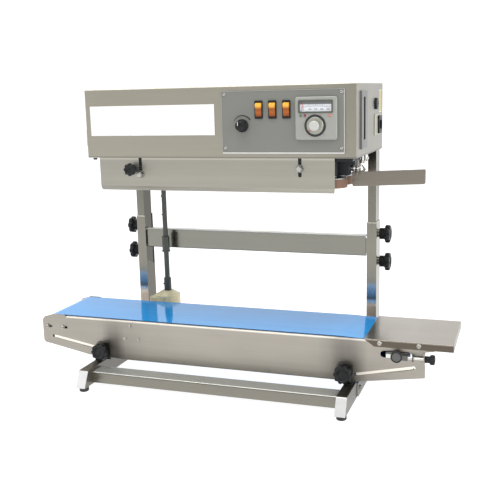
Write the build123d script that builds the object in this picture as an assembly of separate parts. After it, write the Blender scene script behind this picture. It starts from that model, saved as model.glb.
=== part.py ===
from build123d import *
import math
import os

os.makedirs("parts", exist_ok=True)

# Continuous band sealer, millimetres, +Z up, +X to the right along the conveyor, +Y to the back.
# Origin: centre of the footprint on the floor.

# ---- driving dimensions -------------------------------------------------
SHEET = 1.5

# legs and rails
LEG_X = (-269.0, 226.0)
LEG_W = 19.0
LEG_Z0, LEG_Z1 = 9.0, 39.0
LEG_END_Y = 190.0
LEG_TOP_END_Y = 174.0
FOOT_R = 9.0
FOOT_Y = 176.0
RAIL_Y0, RAIL_Y1 = 122.0, 158.5
RAIL_Z0, RAIL_Z1 = 11.0, 32.0

# telescopic posts
POST_Y0, POST_Y1 = 91.0, 129.0
POST_TOP = 294.0
POST_WALL = 1.2
POST_KNOB_Y = 110.0
POST_KNOB_Z = (270.0, 215.0)
POST_KNOB_R = 18.0
INNER_W, INNER_D = 16.0, 35.0
INNER_Z0, INNER_Z1 = 150.0, 432.0
BAR_Z0, BAR_Z1 = 226.0, 266.5
BAR_X0, BAR_X1 = -258.5, 213.4
BAR_Y = 96.3

# conveyor
CONV_X0, CONV_X1 = -401.5, 354.5
PLATE_F = -100.0
PLATE_R = 47.0
BED_Z = 118.6
BELT_Y0, BELT_Y1 = -96.0, 43.0
BELT_T = 1.5
BELT_IN_TOP = 119.5
TAIL_X, TAIL_Z, TAIL_R = -373.5, 95.5, 24.0
HEADR_X, HEADR_Z, HEADR_R = 307.0, 95.0, 20.0
DRIVE_X, DRIVE_Z, DRIVE_R = -204.5, 92.0, 21.7
PINCH_R = 10.0
ROLLER_GAP = 0.3
ROLLER_Y0, ROLLER_Y1 = -94.0, 41.0
CLAMP_X = (-265.5, 215.5)
CLAMP_Z = 57.2
CLAMP_R = 17.3
SLOT_W = 6.4
CONV_LIFT = 8.0
TABLE_X0, TABLE_X1 = 249.5, 401.5
TABLE_TOP = 121.0
LIP_Z = 108.0

# drive line
SHAFT_Y = 74.0
GEARBOX_R = 25.8
GEAR_TEETH = 16
GEAR_BACK = 14.0
GEAR_FRONT = 9.0
SLEEVE_Z0, SLEEVE_Z1 = 222.0, 255.0

# head
HEAD_X0, HEAD_X1 = -278.5, 235.5
HEAD_Y0, HEAD_Y1 = -93.0, 149.0
HEAD_Z0, HEAD_Z1 = 432.0, 557.0
PANEL = (-5.7, 214.8, 440.0, 548.5)
PANEL_Y = -94.5
ROCKER_X = (63.8, 88.6, 113.6)
ROCKER_Z = 515.5
SPEED_X, SPEED_Z, SPEED_R = 33.1, 488.6, 11.2
CTRL = (130.3, 202.3, 463.8, 535.8)
CTRL_Y = -99.5
DIAL_X, DIAL_Z = 164.9, 487.6
VENT = (-71.0, -22.5, 445.5, 544.0)
VENT_SLOT = (-56.0, -40.0, 460.8, 533.4)
VENT_T = 3.6
FUSE_Y, FUSE_Z, FUSE_R = 67.8, 519.4, 10.5
INLET = (88.0, 117.0, 464.0, 496.5)
INLET_PLATE = (59.0, 121.0, 462.0, 499.5)

# sealing unit
SEAM_Y = -28.0
WHEEL_R = 26.0
BAND_IN = 26.3
BAND_OUT = 27.1
BAND_Z0, BAND_Z1 = 379.0, 394.0
FRONT_WHEEL_Y = SEAM_Y - 0.3 - BAND_OUT
REAR_WHEEL_Y = SEAM_Y + 0.3 + BAND_OUT
WHEEL_X = (-220.0, 183.0)
PRESS_X, PRESS_R = -165.0, 20.0
PRESS_FRONT_Y = SEAM_Y - 0.3 - 0.8 - 0.3 - PRESS_R
PRESS_REAR_Y = SEAM_Y + 0.3 + 0.8 + 0.3 + PRESS_R
COVER_Y = -88.0
COVER_X0, COVER_X1 = -256.5, 195.5
COVER_CORNER_R = 9.5
COVER_LIP_Z = 371.8
COVER_NUTS = ((134.0, 413.6), (-172.0, 401.2))
PRESSURE_X, PRESSURE_Z, PRESSURE_R = -186.0, 411.2, 12.0
PRESSURE_HUB = 6.0
INFEED_BLOCK = (189.8, 214.5, -62.0, -42.0)


# ---- helpers ------------------------------------------------------------
def box(x0, x1, y0, y1, z0, z1):
    """Block from its six limits."""
    centre = Pos((x0 + x1) / 2, (y0 + y1) / 2, (z0 + z1) / 2)
    return centre * Box(abs(x1 - x0), abs(y1 - y0), abs(z1 - z0))


def cyl_x(y, z, x0, x1, r):
    return Pos((x0 + x1) / 2, y, z) * Rot(0, 90, 0) * Cylinder(r, abs(x1 - x0))


def cyl_y(x, z, y0, y1, r):
    return Pos(x, (y0 + y1) / 2, z) * Rot(90, 0, 0) * Cylinder(r, abs(y1 - y0))


def cyl_z(x, y, z0, z1, r):
    return Pos(x, y, (z0 + z1) / 2) * Cylinder(r, abs(z1 - z0))


def hex_y(x, z, y0, y1, flats):
    face = RegularPolygon(flats / math.sqrt(3), 6)
    plane = Plane(origin=(x, y0, z), x_dir=(1, 0, 0), z_dir=(0, 1, 0))
    return extrude(plane * face, amount=y1 - y0, dir=(0, 1, 0))


def hex_z(x, y, z0, z1, flats):
    face = RegularPolygon(flats / math.sqrt(3), 6)
    return extrude(Plane(origin=(x, y, z0)) * face, amount=z1 - z0, dir=(0, 0, 1))


def outline(plane, corners):
    """Closed face from (u, v, corner radius) points given on the plane."""
    count = len(corners)
    marks = []
    for i in range(count):
        px, py, r = corners[i]
        if r <= 0:
            marks.append(((px, py), None, (px, py)))
            continue
        ax, ay = corners[i - 1][0] - px, corners[i - 1][1] - py
        bx, by = corners[(i + 1) % count][0] - px, corners[(i + 1) % count][1] - py
        la, lb = math.hypot(ax, ay), math.hypot(bx, by)
        ax, ay, bx, by = ax / la, ay / la, bx / lb, by / lb
        angle = math.acos(max(-1.0, min(1.0, ax * bx + ay * by)))
        run = r / math.tan(angle / 2)
        mx, my = ax + bx, ay + by
        lm = math.hypot(mx, my)
        mx, my = mx / lm, my / lm
        reach = r / math.sin(angle / 2) - r
        marks.append(((px + ax * run, py + ay * run), (px + mx * reach, py + my * reach),
                      (px + bx * run, py + by * run)))
    edges = []
    for i in range(count):
        start, mid, end = marks[i]
        last = marks[i - 1][2]
        if math.hypot(last[0] - start[0], last[1] - start[1]) > 1e-6:
            edges.append(Edge.make_line(plane.from_local_coords(last), plane.from_local_coords(start)))
        if mid is not None:
            edges.append(Edge.make_three_point_arc(plane.from_local_coords(start),
                                                   plane.from_local_coords(mid),
                                                   plane.from_local_coords(end)))
    return Face(Wire(edges))


def prism_xz(corners, y0, y1):
    """Solid with an outline in x and z, running from y0 to y1."""
    plane = Plane(origin=(0, y0, 0), x_dir=(1, 0, 0), z_dir=(0, 1, 0))
    local = [(c[0], -c[1], c[2] if len(c) > 2 else 0) for c in corners]
    return extrude(outline(plane, local), amount=y1 - y0, dir=(0, 1, 0))


def prism_yz(corners, x0, x1):
    """Solid with an outline in y and z, running from x0 to x1."""
    plane = Plane(origin=(x0, 0, 0), x_dir=(0, 1, 0), z_dir=(1, 0, 0))
    local = [(c[0], c[1], c[2] if len(c) > 2 else 0) for c in corners]
    return extrude(outline(plane, local), amount=x1 - x0, dir=(1, 0, 0))


def slot_y(xa, za, xb, zb, width, y0, y1):
    """Round-ended slot cutter through y, between two centres."""
    length = math.hypot(xb - xa, zb - za)
    tilt = math.degrees(math.atan2(zb - za, xb - xa))
    bar = Pos((xa + xb) / 2, (y0 + y1) / 2, (za + zb) / 2) * Rot(0, -tilt, 0)
    tool = bar * Box(length, y1 - y0, width)
    tool += cyl_y(xa, za, y0, y1, width / 2)
    tool += cyl_y(xb, zb, y0, y1, width / 2)
    return tool


def screw_y(x, z, face, head_r, head_h, shank_r, shank):
    """Pan head screw whose head sits on the face, head towards -y, shank towards +y."""
    head = cyl_y(x, z, face - head_h, face, head_r)
    head = chamfer(head.edges().filter_by(GeomType.CIRCLE).sort_by(Axis.Y)[0], head_h * 0.4)
    head -= box(x - head_r, x + head_r, face - head_h, face - head_h * 0.55, z - 0.4, z + 0.4)
    return head + cyl_y(x, z, face, face + shank, shank_r)


def star_knob(radius, height, lobes, bore, depth):
    """Star grip on +z, its hub face at z = 0, with a blind bore from the hub face."""
    face = Circle(radius * 0.80)
    for i in range(lobes):
        turn = math.radians(360 / lobes * i)
        face += Pos(radius * 0.755 * math.cos(turn), radius * 0.755 * math.sin(turn)) * Circle(radius * 0.245)
    grip = extrude(Pos(0, 0, height * 0.3) * face, amount=height * 0.7)
    envelope = Pos(0, 0, height / 2) * Cylinder(radius, height)
    envelope = fillet(envelope.edges().group_by(Axis.Z)[-1], height * 0.14)
    knob = grip & envelope
    knob += Pos(0, 0, height * 0.2) * Cylinder(radius * 0.5, height * 0.4)
    knob -= Pos(0, 0, height) * Cylinder(radius * 0.42, height * 0.12)
    knob -= Pos(0, 0, depth / 2) * Cylinder(bore, depth)
    return knob


def bevel_gear(teeth, front, back, phase):
    """Straight mitre gear with its apex at the origin, widening along +z."""
    root, tip = 0.86, 1.12
    gear = Solid.make_cone(root * front, root * back, back - front, Plane(origin=(0, 0, front)))
    for i in range(teeth):
        middle = phase + 360 / teeth * i
        ends = []
        for z in (front, back):
            ring = []
            for radius, half in ((0.78 * z, -7.0), (tip * z, -2.4), (tip * z, 2.4), (0.78 * z, 7.0)):
                turn = math.radians(middle + half)
                ring.append((radius * math.cos(turn), radius * math.sin(turn), z))
            ends.append(Face(Wire.make_polygon(ring)))
        gear += loft(ends, ruled=True)
    return gear


def save(node, shape):
    export_step(shape, "parts/" + node + ".step")


# ---- base frame ---------------------------------------------------------
def leg(x):
    """Folded channel foot, open below, with closed slanting ends."""
    x0, x1 = x - LEG_W / 2, x + LEG_W / 2
    y, t = LEG_END_Y, LEG_TOP_END_Y
    body = prism_yz([(-y, LEG_Z0), (y, LEG_Z0), (t, LEG_Z1, 3), (-t, LEG_Z1, 3)], x0, x1)
    body -= prism_yz([(-y + 3, LEG_Z0 - 1), (y - 3, LEG_Z0 - 1), (t - 1.5, LEG_Z1 - SHEET),
                      (-t + 1.5, LEG_Z1 - SHEET)], x0 + SHEET, x1 - SHEET)
    return body


save("leg_channels", Compound(children=[leg(x) for x in LEG_X]))

feet = []
for x in LEG_X:
    for y in (-FOOT_Y, FOOT_Y):
        pad = cyl_z(x, y, 0, LEG_Z0, FOOT_R)
        pad = chamfer(pad.edges().filter_by(GeomType.CIRCLE).sort_by(Axis.Z)[0], 1.2)
        feet.append(pad + cyl_z(x, y, LEG_Z0, LEG_Z0 + 6, 7.0))
save("rubber_feet", Compound(children=feet))


def cross_rail(front):
    """Folded cross rail between the two legs, open below."""
    x0, x1 = LEG_X[0] + LEG_W / 2, LEG_X[1] - LEG_W / 2
    y0, y1 = (-RAIL_Y1, -RAIL_Y0) if front else (RAIL_Y0, RAIL_Y1)
    body = prism_yz([(y0, RAIL_Z0), (y1, RAIL_Z0), (y1, RAIL_Z1, 3), (y0, RAIL_Z1, 3)], x0, x1)
    return body - box(x0 - 1, x1 + 1, y0 + SHEET, y1 - SHEET, RAIL_Z0 - 1, RAIL_Z1 - SHEET)


save("cross_rails", Compound(children=[cross_rail(True), cross_rail(False)]))


def outer_post(x, inner):
    """Rectangular tube; the wall facing the other post is cut away above a slanting edge."""
    x0, x1 = x - LEG_W / 2, x + LEG_W / 2
    body = box(x0, x1, POST_Y0, POST_Y1, LEG_Z1, POST_TOP)
    body -= box(x0 + POST_WALL, x1 - POST_WALL, POST_Y0 + POST_WALL, POST_Y1 - POST_WALL,
                LEG_Z1 - 1, POST_TOP + 1)
    xa, xb = (x1 - POST_WALL - 0.1, x1 + 1) if inner > 0 else (x0 - 1, x0 + POST_WALL + 0.1)
    body -= prism_yz([(POST_Y0 + POST_WALL, 197.6), (POST_Y1 - POST_WALL, 183.0),
                      (POST_Y1 - POST_WALL, POST_TOP + 1), (POST_Y0 + POST_WALL, POST_TOP + 1)], xa, xb)
    for z in POST_KNOB_Z:
        if inner > 0:
            body += cyl_x(POST_KNOB_Y, z, x0 - 3, x0, 8)
            body -= cyl_x(POST_KNOB_Y, z, x0 - 4, x0 + POST_WALL + 0.1, 3.05)
        else:
            body += cyl_x(POST_KNOB_Y, z, x1, x1 + 3, 8)
            body -= cyl_x(POST_KNOB_Y, z, x1 - POST_WALL - 0.1, x1 + 4, 3.05)
    return body


save("outer_posts", Compound(children=[outer_post(LEG_X[0], 1), outer_post(LEG_X[1], -1)]))


def post_bracket(x, side):
    """Plate along the outside of a leg with an upstand beside the post."""
    face = x + side * LEG_W / 2
    x0, x1 = (face, face + 2.5) if side > 0 else (face - 2.5, face)
    body = prism_yz([(-95, 10, 3), (135, 10, 3), (135, 60, 4), (130, 92, 6), (90, 92, 6), (84, 36, 0),
                     (-95, 36, 3)], x0, x1)
    for y, z in ((-80, 23), (0, 23), (100, 23), (110, 75)):
        head = cyl_x(y, z, x1 if side > 0 else x0 - 2.4, x1 + 2.4 if side > 0 else x0, 4.2)
        body += head
    return body


save("post_base_brackets", Compound(children=[post_bracket(LEG_X[0], -1), post_bracket(LEG_X[1], 1)]))


def clamp_bracket(x, front):
    """Angle standing on the leg with a vertical slot for the clamp rod."""
    if front:
        y0, y1, ya, yb = PLATE_F - 2.9, PLATE_F - 0.4, PLATE_F - 16.0, PLATE_F - 0.4
    else:
        y0, y1, ya, yb = PLATE_R + 0.4, PLATE_R + 2.9, PLATE_R + 0.4, PLATE_R + 16.0
    body = prism_xz([(x - 15, LEG_Z1), (x + 15, LEG_Z1), (x + 15, 73, 5), (x - 15, 73, 5)], y0, y1)
    body -= slot_y(x, CLAMP_Z - 0.4, x, CLAMP_Z + CONV_LIFT + 0.4, 6.8, y0 - 1, y1 + 1)
    leg_x = LEG_X[0] if x < 0 else LEG_X[1]
    tongue = box(max(x - 15, leg_x - 9), min(x + 15, leg_x + 9), ya, yb, LEG_Z1, LEG_Z1 + 0.8)
    return body + tongue


save("clamp_brackets", Compound(children=[clamp_bracket(x, f) for x in CLAMP_X for f in (True, False)]))


def post_knob(x, side, z):
    """Star knob with its clamping stud, axis along x, outside the post."""
    face = x + side * (LEG_W / 2 + 3)
    knob = star_knob(POST_KNOB_R, 21.0, 7, 2.0, 0.5)
    knob += Pos(0, 0, 0.1) * Cylinder(3.0, 9.2)
    knob = Rot(0, 90 * side, 0) * knob
    return Pos(face + side * 0.4, POST_KNOB_Y, z) * knob


for side, name in ((-1, "left"), (1, "right")):
    for z, level in zip(POST_KNOB_Z, ("upper", "lower")):
        save("post_knob_" + name + "_" + level, post_knob(LEG_X[0] if side < 0 else LEG_X[1], side, z))


# ---- conveyor -----------------------------------------------------------
PLATE_OUTLINE = [(-401.5, 62.5, 8), (-385, 60.2, 0), (-298, 44, 20), (-214, 40.5, 60), (236, 40.5, 40),
                 (354.5, 58, 1), (354.5, BED_Z, 0), (-347.6, BED_Z, 0), (-353, 121.6, 4), (-376, 121.6, 14),
                 (-401.5, 114, 10)]
FLANGE_SCREWS = [(DRIVE_X + 17.3 * math.cos(math.radians(a)), DRIVE_Z + 17.3 * math.sin(math.radians(a)))
                 for a in (98, 213, 327)]
TENSION_SCREWS = [(-390.7, 96.0), (-355.9, 96.0)]
LIP_SCREWS = [(276.4, 114.6), (343.5, 114.6)]


def side_plate(front):
    """Folded side sheet with an inward top flange and the adjusting slots."""
    y0, y1 = (PLATE_F, PLATE_F + SHEET) if front else (PLATE_R - SHEET, PLATE_R)
    ya, yb = y0 - 2, y1 + 2
    body = prism_xz(PLATE_OUTLINE, y0, y1)
    for x0, x1, width in ((-347.6, 222.0, 12.0), (222.0, 249.0, 3.5)):
        if front:
            flange = [(y0, BED_Z - 6, 0), (y0, BED_Z, 2.5), (y0 + width, BED_Z, 0),
                      (y0 + width, BED_Z - SHEET, 0), (y0 + SHEET, BED_Z - SHEET, 1), (y0 + SHEET, BED_Z - 6, 0)]
            corner = box(x0, x1, y0 - 1, y0 + 2.5, BED_Z - 2.5, BED_Z + 0.1)
        else:
            flange = [(y1, BED_Z - 6, 0), (y1 - SHEET, BED_Z - 6, 0), (y1 - SHEET, BED_Z - SHEET, 1),
                      (y1 - width, BED_Z - SHEET, 0), (y1 - width, BED_Z, 0), (y1, BED_Z, 2.5)]
            corner = box(x0, x1, y1 - 2.5, y1 + 1, BED_Z - 2.5, BED_Z + 0.1)
        body -= corner
        body += prism_yz(flange, x0, x1)
    body -= slot_y(-377.6, 76.3, -265.5, CLAMP_Z, SLOT_W, ya, yb)
    body -= slot_y(224.5, 51.3, 335, 74.4, SLOT_W, ya, yb)
    body -= cyl_y(CLAMP_X[1], CLAMP_Z, ya, yb, 3.1)
    for x, z in TENSION_SCREWS:
        body -= slot_y(x - 1.5, z, x + 8.2, z, 5, ya, yb)
    body -= slot_y(284, 95.5, 326, 95.5, 12.4, ya, yb)
    if not front:
        body -= cyl_y(DRIVE_X, DRIVE_Z, ya, yb, 6.5)
    for x, z in FLANGE_SCREWS + LIP_SCREWS:
        body -= cyl_y(x, z, ya, yb, 2.1)
    if front:
        for xa, za, xb, zb in ((226, 48.6, 334, 71.2), (-375.5, 73.2, -272.5, 55.6)):
            body += slot_y(xa, za, xb, zb, 5.6, y1 - 0.2, y1 + 1.0)
        ear = prism_yz([(PLATE_F - 13, 84, 4), (PLATE_F + SHEET, 84, 0), (PLATE_F + SHEET, 104, 0),
                        (PLATE_F - 13, 104, 4)], CONV_X1 - SHEET, CONV_X1)
        body += ear - cyl_x(-106, 94, 350, 360, 2.85)
    return body


save("side_plate_front", side_plate(True))
save("side_plate_rear", side_plate(False))
save("slider_bed", box(-340, 205, -95, 42, BED_Z, BELT_IN_TOP))


def tangent(px, pz, cx, cz, r, upper):
    """Point where a line from outside touches a circle, on its upper or lower side."""
    dx, dz = cx - px, cz - pz
    far = math.hypot(dx, dz)
    base = math.atan2(dz, dx)
    spread = math.asin(r / far)
    reach = math.sqrt(far * far - r * r)
    best = None
    for turn in (base + spread, base - spread):
        point = (px + reach * math.cos(turn), pz + reach * math.sin(turn))
        if best is None or (point[1] > best[1]) == upper:
            best = point
    return best


def belt_loop(grow, y0, y1):
    """Filled belt outline: the inner face when grow is 0, the outer face when it is the thickness."""
    rl, rr = TAIL_R + grow, HEADR_R + grow
    top = (205.0, BELT_IN_TOP + grow)
    low = (DRIVE_X, DRIVE_Z - DRIVE_R - grow)
    top_right = tangent(top[0], top[1], HEADR_X, HEADR_Z, rr, True)
    low_right = tangent(low[0], low[1], HEADR_X, HEADR_Z, rr, False)
    low_left = tangent(low[0], low[1], TAIL_X, TAIL_Z, rl, False)
    start = (TAIL_X, TAIL_Z + rl)
    path = [("line", start, top), ("line", top, top_right),
            ("arc", top_right, (HEADR_X + rr, HEADR_Z), low_right),
            ("line", low_right, low), ("line", low, low_left),
            ("arc", low_left, (TAIL_X - rl, TAIL_Z), start)]
    edges = []
    for item in path:
        points = [Vector(p[0], y0, p[1]) for p in item[1:]]
        if item[0] == "line":
            edges.append(Edge.make_line(points[0], points[1]))
        else:
            edges.append(Edge.make_three_point_arc(points[0], points[1], points[2]))
    return extrude(Face(Wire(edges)), amount=y1 - y0, dir=(0, 1, 0))


save("conveyor_belt", belt_loop(BELT_T, BELT_Y0, BELT_Y1) - belt_loop(0, BELT_Y0 - 1, BELT_Y1 + 1))


def roller(x, z, r, axle):
    """Roller with its axle ends and shallow end recesses."""
    body = cyl_y(x, z, ROLLER_Y0, ROLLER_Y1, r - ROLLER_GAP)
    for ya, yb in ((ROLLER_Y0 - 1, ROLLER_Y0 + 3), (ROLLER_Y1 - 3, ROLLER_Y1 + 1)):
        body -= cyl_y(x, z, ya, yb, r * 0.72)
        body += cyl_y(x, z, (ya + yb) / 2 - 1.5, (ya + yb) / 2 + 1.5, axle + 2) if r > 15 else cyl_y(
            x, z, ya + 1, yb - 1, axle + 1)
    return body


def axle_roller(x, z, r, axle, y0, y1):
    return roller(x, z, r, axle) + cyl_y(x, z, y0, y1, axle)


save("tail_roller_left", axle_roller(TAIL_X, TAIL_Z, TAIL_R, 5.0, -98.2, 45.2))
save("tail_roller_right", axle_roller(HEADR_X, HEADR_Z, HEADR_R, 5.0, -100.0, 47.0))
save("pinch_roller", axle_roller(DRIVE_X, DRIVE_Z - DRIVE_R - BELT_T - PINCH_R, PINCH_R, 3.0, -97.6, 44.6))

gear_plane = Plane(origin=(DRIVE_X, SHAFT_Y, DRIVE_Z), x_dir=(1, 0, 0), z_dir=(0, -1, 0))
drive = axle_roller(DRIVE_X, DRIVE_Z, DRIVE_R, 6.0, -98.4, SHAFT_Y - GEAR_FRONT - 0.2)
drive += gear_plane * bevel_gear(GEAR_TEETH, GEAR_FRONT, GEAR_BACK, 180 / GEAR_TEETH)
drive += cyl_y(DRIVE_X, DRIVE_Z, SHAFT_Y - 18.5, SHAFT_Y - GEAR_BACK, 8.5)
save("drive_roller", drive)

flanges = []
pinch_z = DRIVE_Z - DRIVE_R - BELT_T - PINCH_R
for y0, y1 in ((PLATE_F + SHEET, PLATE_F + SHEET + 4), (PLATE_R - SHEET - 4, PLATE_R - SHEET)):
    disc = cyl_y(DRIVE_X, DRIVE_Z, y0, y1, 20.4) - cyl_y(DRIVE_X, DRIVE_Z, y0 - 1, y1 + 1, 6.05)
    for x, z in FLANGE_SCREWS:
        disc -= cyl_y(x, z, y0 - 1, y1 + 1, 2.1)
    flanges.append(disc)
    block = box(TAIL_X - 20.5, TAIL_X + 20.5, y0, y1, TAIL_Z - 8.5, TAIL_Z + 8.5)
    block -= cyl_y(TAIL_X, TAIL_Z, y0 - 1, y1 + 1, 5.05)
    for x, z in TENSION_SCREWS:
        block -= cyl_y(x, z, y0 - 1, y1 + 1, 2.1)
    flanges.append(block)
    ya, yb = (y0, y0 + 3) if y0 < 0 else (y1 - 3, y1)
    arm = prism_xz([(DRIVE_X - 9, pinch_z - 9, 4), (DRIVE_X + 9, pinch_z - 9, 4),
                    (DRIVE_X + 9, pinch_z + 7, 2), (DRIVE_X - 9, pinch_z + 7, 2)], ya, yb)
    flanges.append(arm - cyl_y(DRIVE_X, pinch_z, ya - 1, yb + 1, 3.05))
save("bearing_flanges", Compound(children=flanges))

rods = []
for x in CLAMP_X:
    rod = cyl_y(x, CLAMP_Z, -118, 62, 3.0)
    rod += cyl_y(x, CLAMP_Z, PLATE_R + 3.3, PLATE_R + 4.8, 7.0)
    rod += hex_y(x, CLAMP_Z, PLATE_R + 4.8, PLATE_R + 9.8, 10)
    rods.append(rod)
for x in (-120, 0, 120, 250):
    tube = cyl_y(x, 86, PLATE_F + SHEET, PLATE_R - SHEET, 6)
    rods.append(tube - cyl_y(x, 86, PLATE_F, PLATE_R, 4.5))
save("tie_rods", Compound(children=rods))

screws = []
for x, z in FLANGE_SCREWS:
    screws.append(screw_y(x, z, PLATE_F, 3.6, 2.0, 2.0, 5.0))
for x, z in TENSION_SCREWS:
    washer = cyl_y(x, z, PLATE_F - 1.0, PLATE_F, 5.0)
    screws.append(washer + screw_y(x, z, PLATE_F - 1.0, 4.0, 3.0, 2.0, 6.0))
for x, z in LIP_SCREWS:
    screws.append(screw_y(x, z, PLATE_F - SHEET, 4.2, 2.2, 2.0, 4.0))
save("conveyor_screws", Compound(children=screws))


def table():
    """Thin extension table, folded down at the front, back and right-hand end."""
    y0, y1 = PLATE_F - SHEET, PLATE_R + SHEET
    body = prism_yz([(y0, TABLE_TOP - 5, 0), (y0, TABLE_TOP, 1.6), (y1, TABLE_TOP, 1.6), (y1, TABLE_TOP - 5, 0)],
                    TABLE_X0, TABLE_X1)
    body -= box(TABLE_X0 - 1, TABLE_X1 - SHEET, PLATE_F, PLATE_R, TABLE_TOP - 6, TABLE_TOP - SHEET)
    side = [(TABLE_X0 + 5, TABLE_TOP - 4, 0), (TABLE_X1, TABLE_TOP - 4, 0), (TABLE_X1, LIP_Z, 1),
            (267.0, LIP_Z, 3)]
    wedge = prism_xz([(TABLE_X0 - 1, TABLE_TOP - 0.5), (TABLE_X0 + 18, LIP_Z - 1), (TABLE_X0 - 1, LIP_Z - 1)],
                     y0 - 1, y1 + 1)
    body += prism_xz(side, y0, PLATE_F)
    body += prism_xz(side, PLATE_R, y1)
    body += box(TABLE_X1 - SHEET, TABLE_X1, y0, y1, LIP_Z, TABLE_TOP - 3)
    body -= wedge
    for x, z in LIP_SCREWS:
        body -= cyl_y(x, z, y0 - 1, y1 + 1, 2.1)
    return body


save("extension_table", table())


# ---- belt take-up -------------------------------------------------------
carriage = []
front_block = box(288, 326, -104, -94.5, 89.8, 101.2)
front_block += cyl_y(HEADR_X, HEADR_Z, -111, -104, 10.0)
front_block += box(316, 326, -110, -104, 89.8, 98.8)
front_block += cyl_x(-106, 94, 326, 368, 2.5)
front_block += cyl_x(-106, 94, 333.5, 335.5, 6.0)
front_block -= cyl_y(HEADR_X, HEADR_Z, -101, -90, 5.05)
carriage.append(front_block)
rear_block = box(288, 326, 41.5, 51, 89.8, 101.2) - cyl_y(HEADR_X, HEADR_Z, 40, 48, 5.05)
carriage.append(rear_block)
save("takeup_carriage", Compound(children=carriage))

takeup_knob = cyl_x(-106, 94, 354.9, 356.5, 5.5)
grip = cyl_x(-106, 94, 356.5, 371.5, 9.0)
grip = fillet(grip.edges().filter_by(GeomType.CIRCLE), 1.2)
for i in range(18):
    turn = math.radians(20 * i)
    grip -= cyl_x(-106 + 9.4 * math.cos(turn), 94 + 9.4 * math.sin(turn), 355, 373, 0.9)
takeup_knob += grip
takeup_knob -= cyl_x(-106, 94, 354, 369.5, 2.55)
save("takeup_knob", takeup_knob)


def clamp_knob(x):
    """Clamp knob on the front end of a clamp rod, axis along y."""
    knob = star_knob(CLAMP_R, 21.0, 10, 3.05, 15.5)
    return Pos(x, PLATE_F - 3.3, CLAMP_Z) * Rot(90, 0, 0) * knob


save("clamp_knob_left", clamp_knob(CLAMP_X[0]))
save("clamp_knob_right", clamp_knob(CLAMP_X[1]))


# ---- vertical drive line ------------------------------------------------
housing = box(DRIVE_X - 34, DRIVE_X, SHAFT_Y - 22, SHAFT_Y + 22, 70, 126)
housing = fillet(housing.edges().filter_by(Axis.Z), 5)
housing += cyl_z(DRIVE_X, SHAFT_Y, 66, 131, GEARBOX_R)
housing += Pos(DRIVE_X, SHAFT_Y, 135) * Cone(GEARBOX_R - 1.5, 12, 8)
foot = prism_xz([(DRIVE_X - 36.5, 70, 6), (DRIVE_X + 36.5, 70, 6), (DRIVE_X + 36.5, 114, 6),
                 (DRIVE_X - 36.5, 114, 6)], PLATE_R, 50.5)
housing += foot
for x in (DRIVE_X - 31, DRIVE_X + 31):
    for z in (76, 108):
        housing += cyl_y(x, z, 50.5, 53.5, 4)
housing -= cyl_z(DRIVE_X, SHAFT_Y, 72, 122, GEARBOX_R - 3)
housing -= cyl_y(DRIVE_X, DRIVE_Z, PLATE_R - 1, 56, 6.05)
housing -= cyl_z(DRIVE_X, SHAFT_Y, 120, 142, 6.05)
save("gearbox_housing", housing)

lower = Pos(DRIVE_X, SHAFT_Y, DRIVE_Z) * bevel_gear(GEAR_TEETH, GEAR_FRONT, GEAR_BACK, 0)
lower += cyl_z(DRIVE_X, SHAFT_Y, DRIVE_Z + GEAR_BACK, DRIVE_Z + 19, 8.5)
lower += cyl_z(DRIVE_X, SHAFT_Y, DRIVE_Z + 19, 139.4, 6.0)
lower += cyl_z(DRIVE_X, SHAFT_Y, 139.4, 166, 7.7)
lower += cyl_z(DRIVE_X, SHAFT_Y, 166, 226, 5.25)
lower += cyl_x(SHAFT_Y, 152, DRIVE_X - 9.5, DRIVE_X, 2.2)
lower -= hex_z(DRIVE_X, SHAFT_Y, 141.5, 227, 6.6)
save("lower_drive_shaft", lower)

upper = cyl_z(DRIVE_X, SHAFT_Y, SLEEVE_Z1 - 1, 462, 5.0)
sleeve = cyl_z(DRIVE_X, SHAFT_Y, SLEEVE_Z0, SLEEVE_Z1, 7.75)
sleeve += cyl_z(DRIVE_X, SHAFT_Y, SLEEVE_Z0, SLEEVE_Z0 + 3, 8.6)
sleeve = chamfer(sleeve.edges().filter_by(GeomType.CIRCLE).sort_by(Axis.Z)[-1], 0.8)
sleeve -= cyl_z(DRIVE_X, SHAFT_Y, SLEEVE_Z0 - 1, 251.5, 5.6)
upper += sleeve
upper += hex_z(DRIVE_X, SHAFT_Y, 166, 252, 6.0)
for z in (339, 300):
    upper += cyl_x(SHAFT_Y, z, DRIVE_X - 6.4, DRIVE_X, 1.8)
save("upper_drive_shaft", upper)


# ---- posts carrying the head --------------------------------------------
inner = []
middle_y = (POST_Y0 + POST_Y1) / 2
for x in LEG_X:
    tube = box(x - INNER_W / 2, x + INNER_W / 2, middle_y - INNER_D / 2, middle_y + INNER_D / 2,
               INNER_Z0, INNER_Z1)
    tube -= box(x - INNER_W / 2 + SHEET, x + INNER_W / 2 - SHEET, middle_y - INNER_D / 2 + SHEET,
                middle_y + INNER_D / 2 - SHEET, INNER_Z0 - 1, INNER_Z1 - 3)
    inner.append(tube)
save("inner_posts", Compound(children=inner))

bar = prism_yz([(BAR_Y, BAR_Z0, 2), (BAR_Y + 18, BAR_Z0, 2), (BAR_Y + 18, BAR_Z1, 2), (BAR_Y, BAR_Z1, 2)],
               BAR_X0, BAR_X1)
bar -= box(BAR_X0 - 1, BAR_X1 + 1, BAR_Y + SHEET, BAR_Y + 20, BAR_Z0 + SHEET, BAR_Z1 - SHEET)
for x0, x1 in ((LEG_X[0] + INNER_W / 2, BAR_X0 + 18), (BAR_X1 - 18, LEG_X[1] - INNER_W / 2)):
    bar += box(x0, x1, BAR_Y + SHEET, BAR_Y + 2 * SHEET, BAR_Z0 + 5, BAR_Z1 - 5)
save("post_crossbar", bar)


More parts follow.
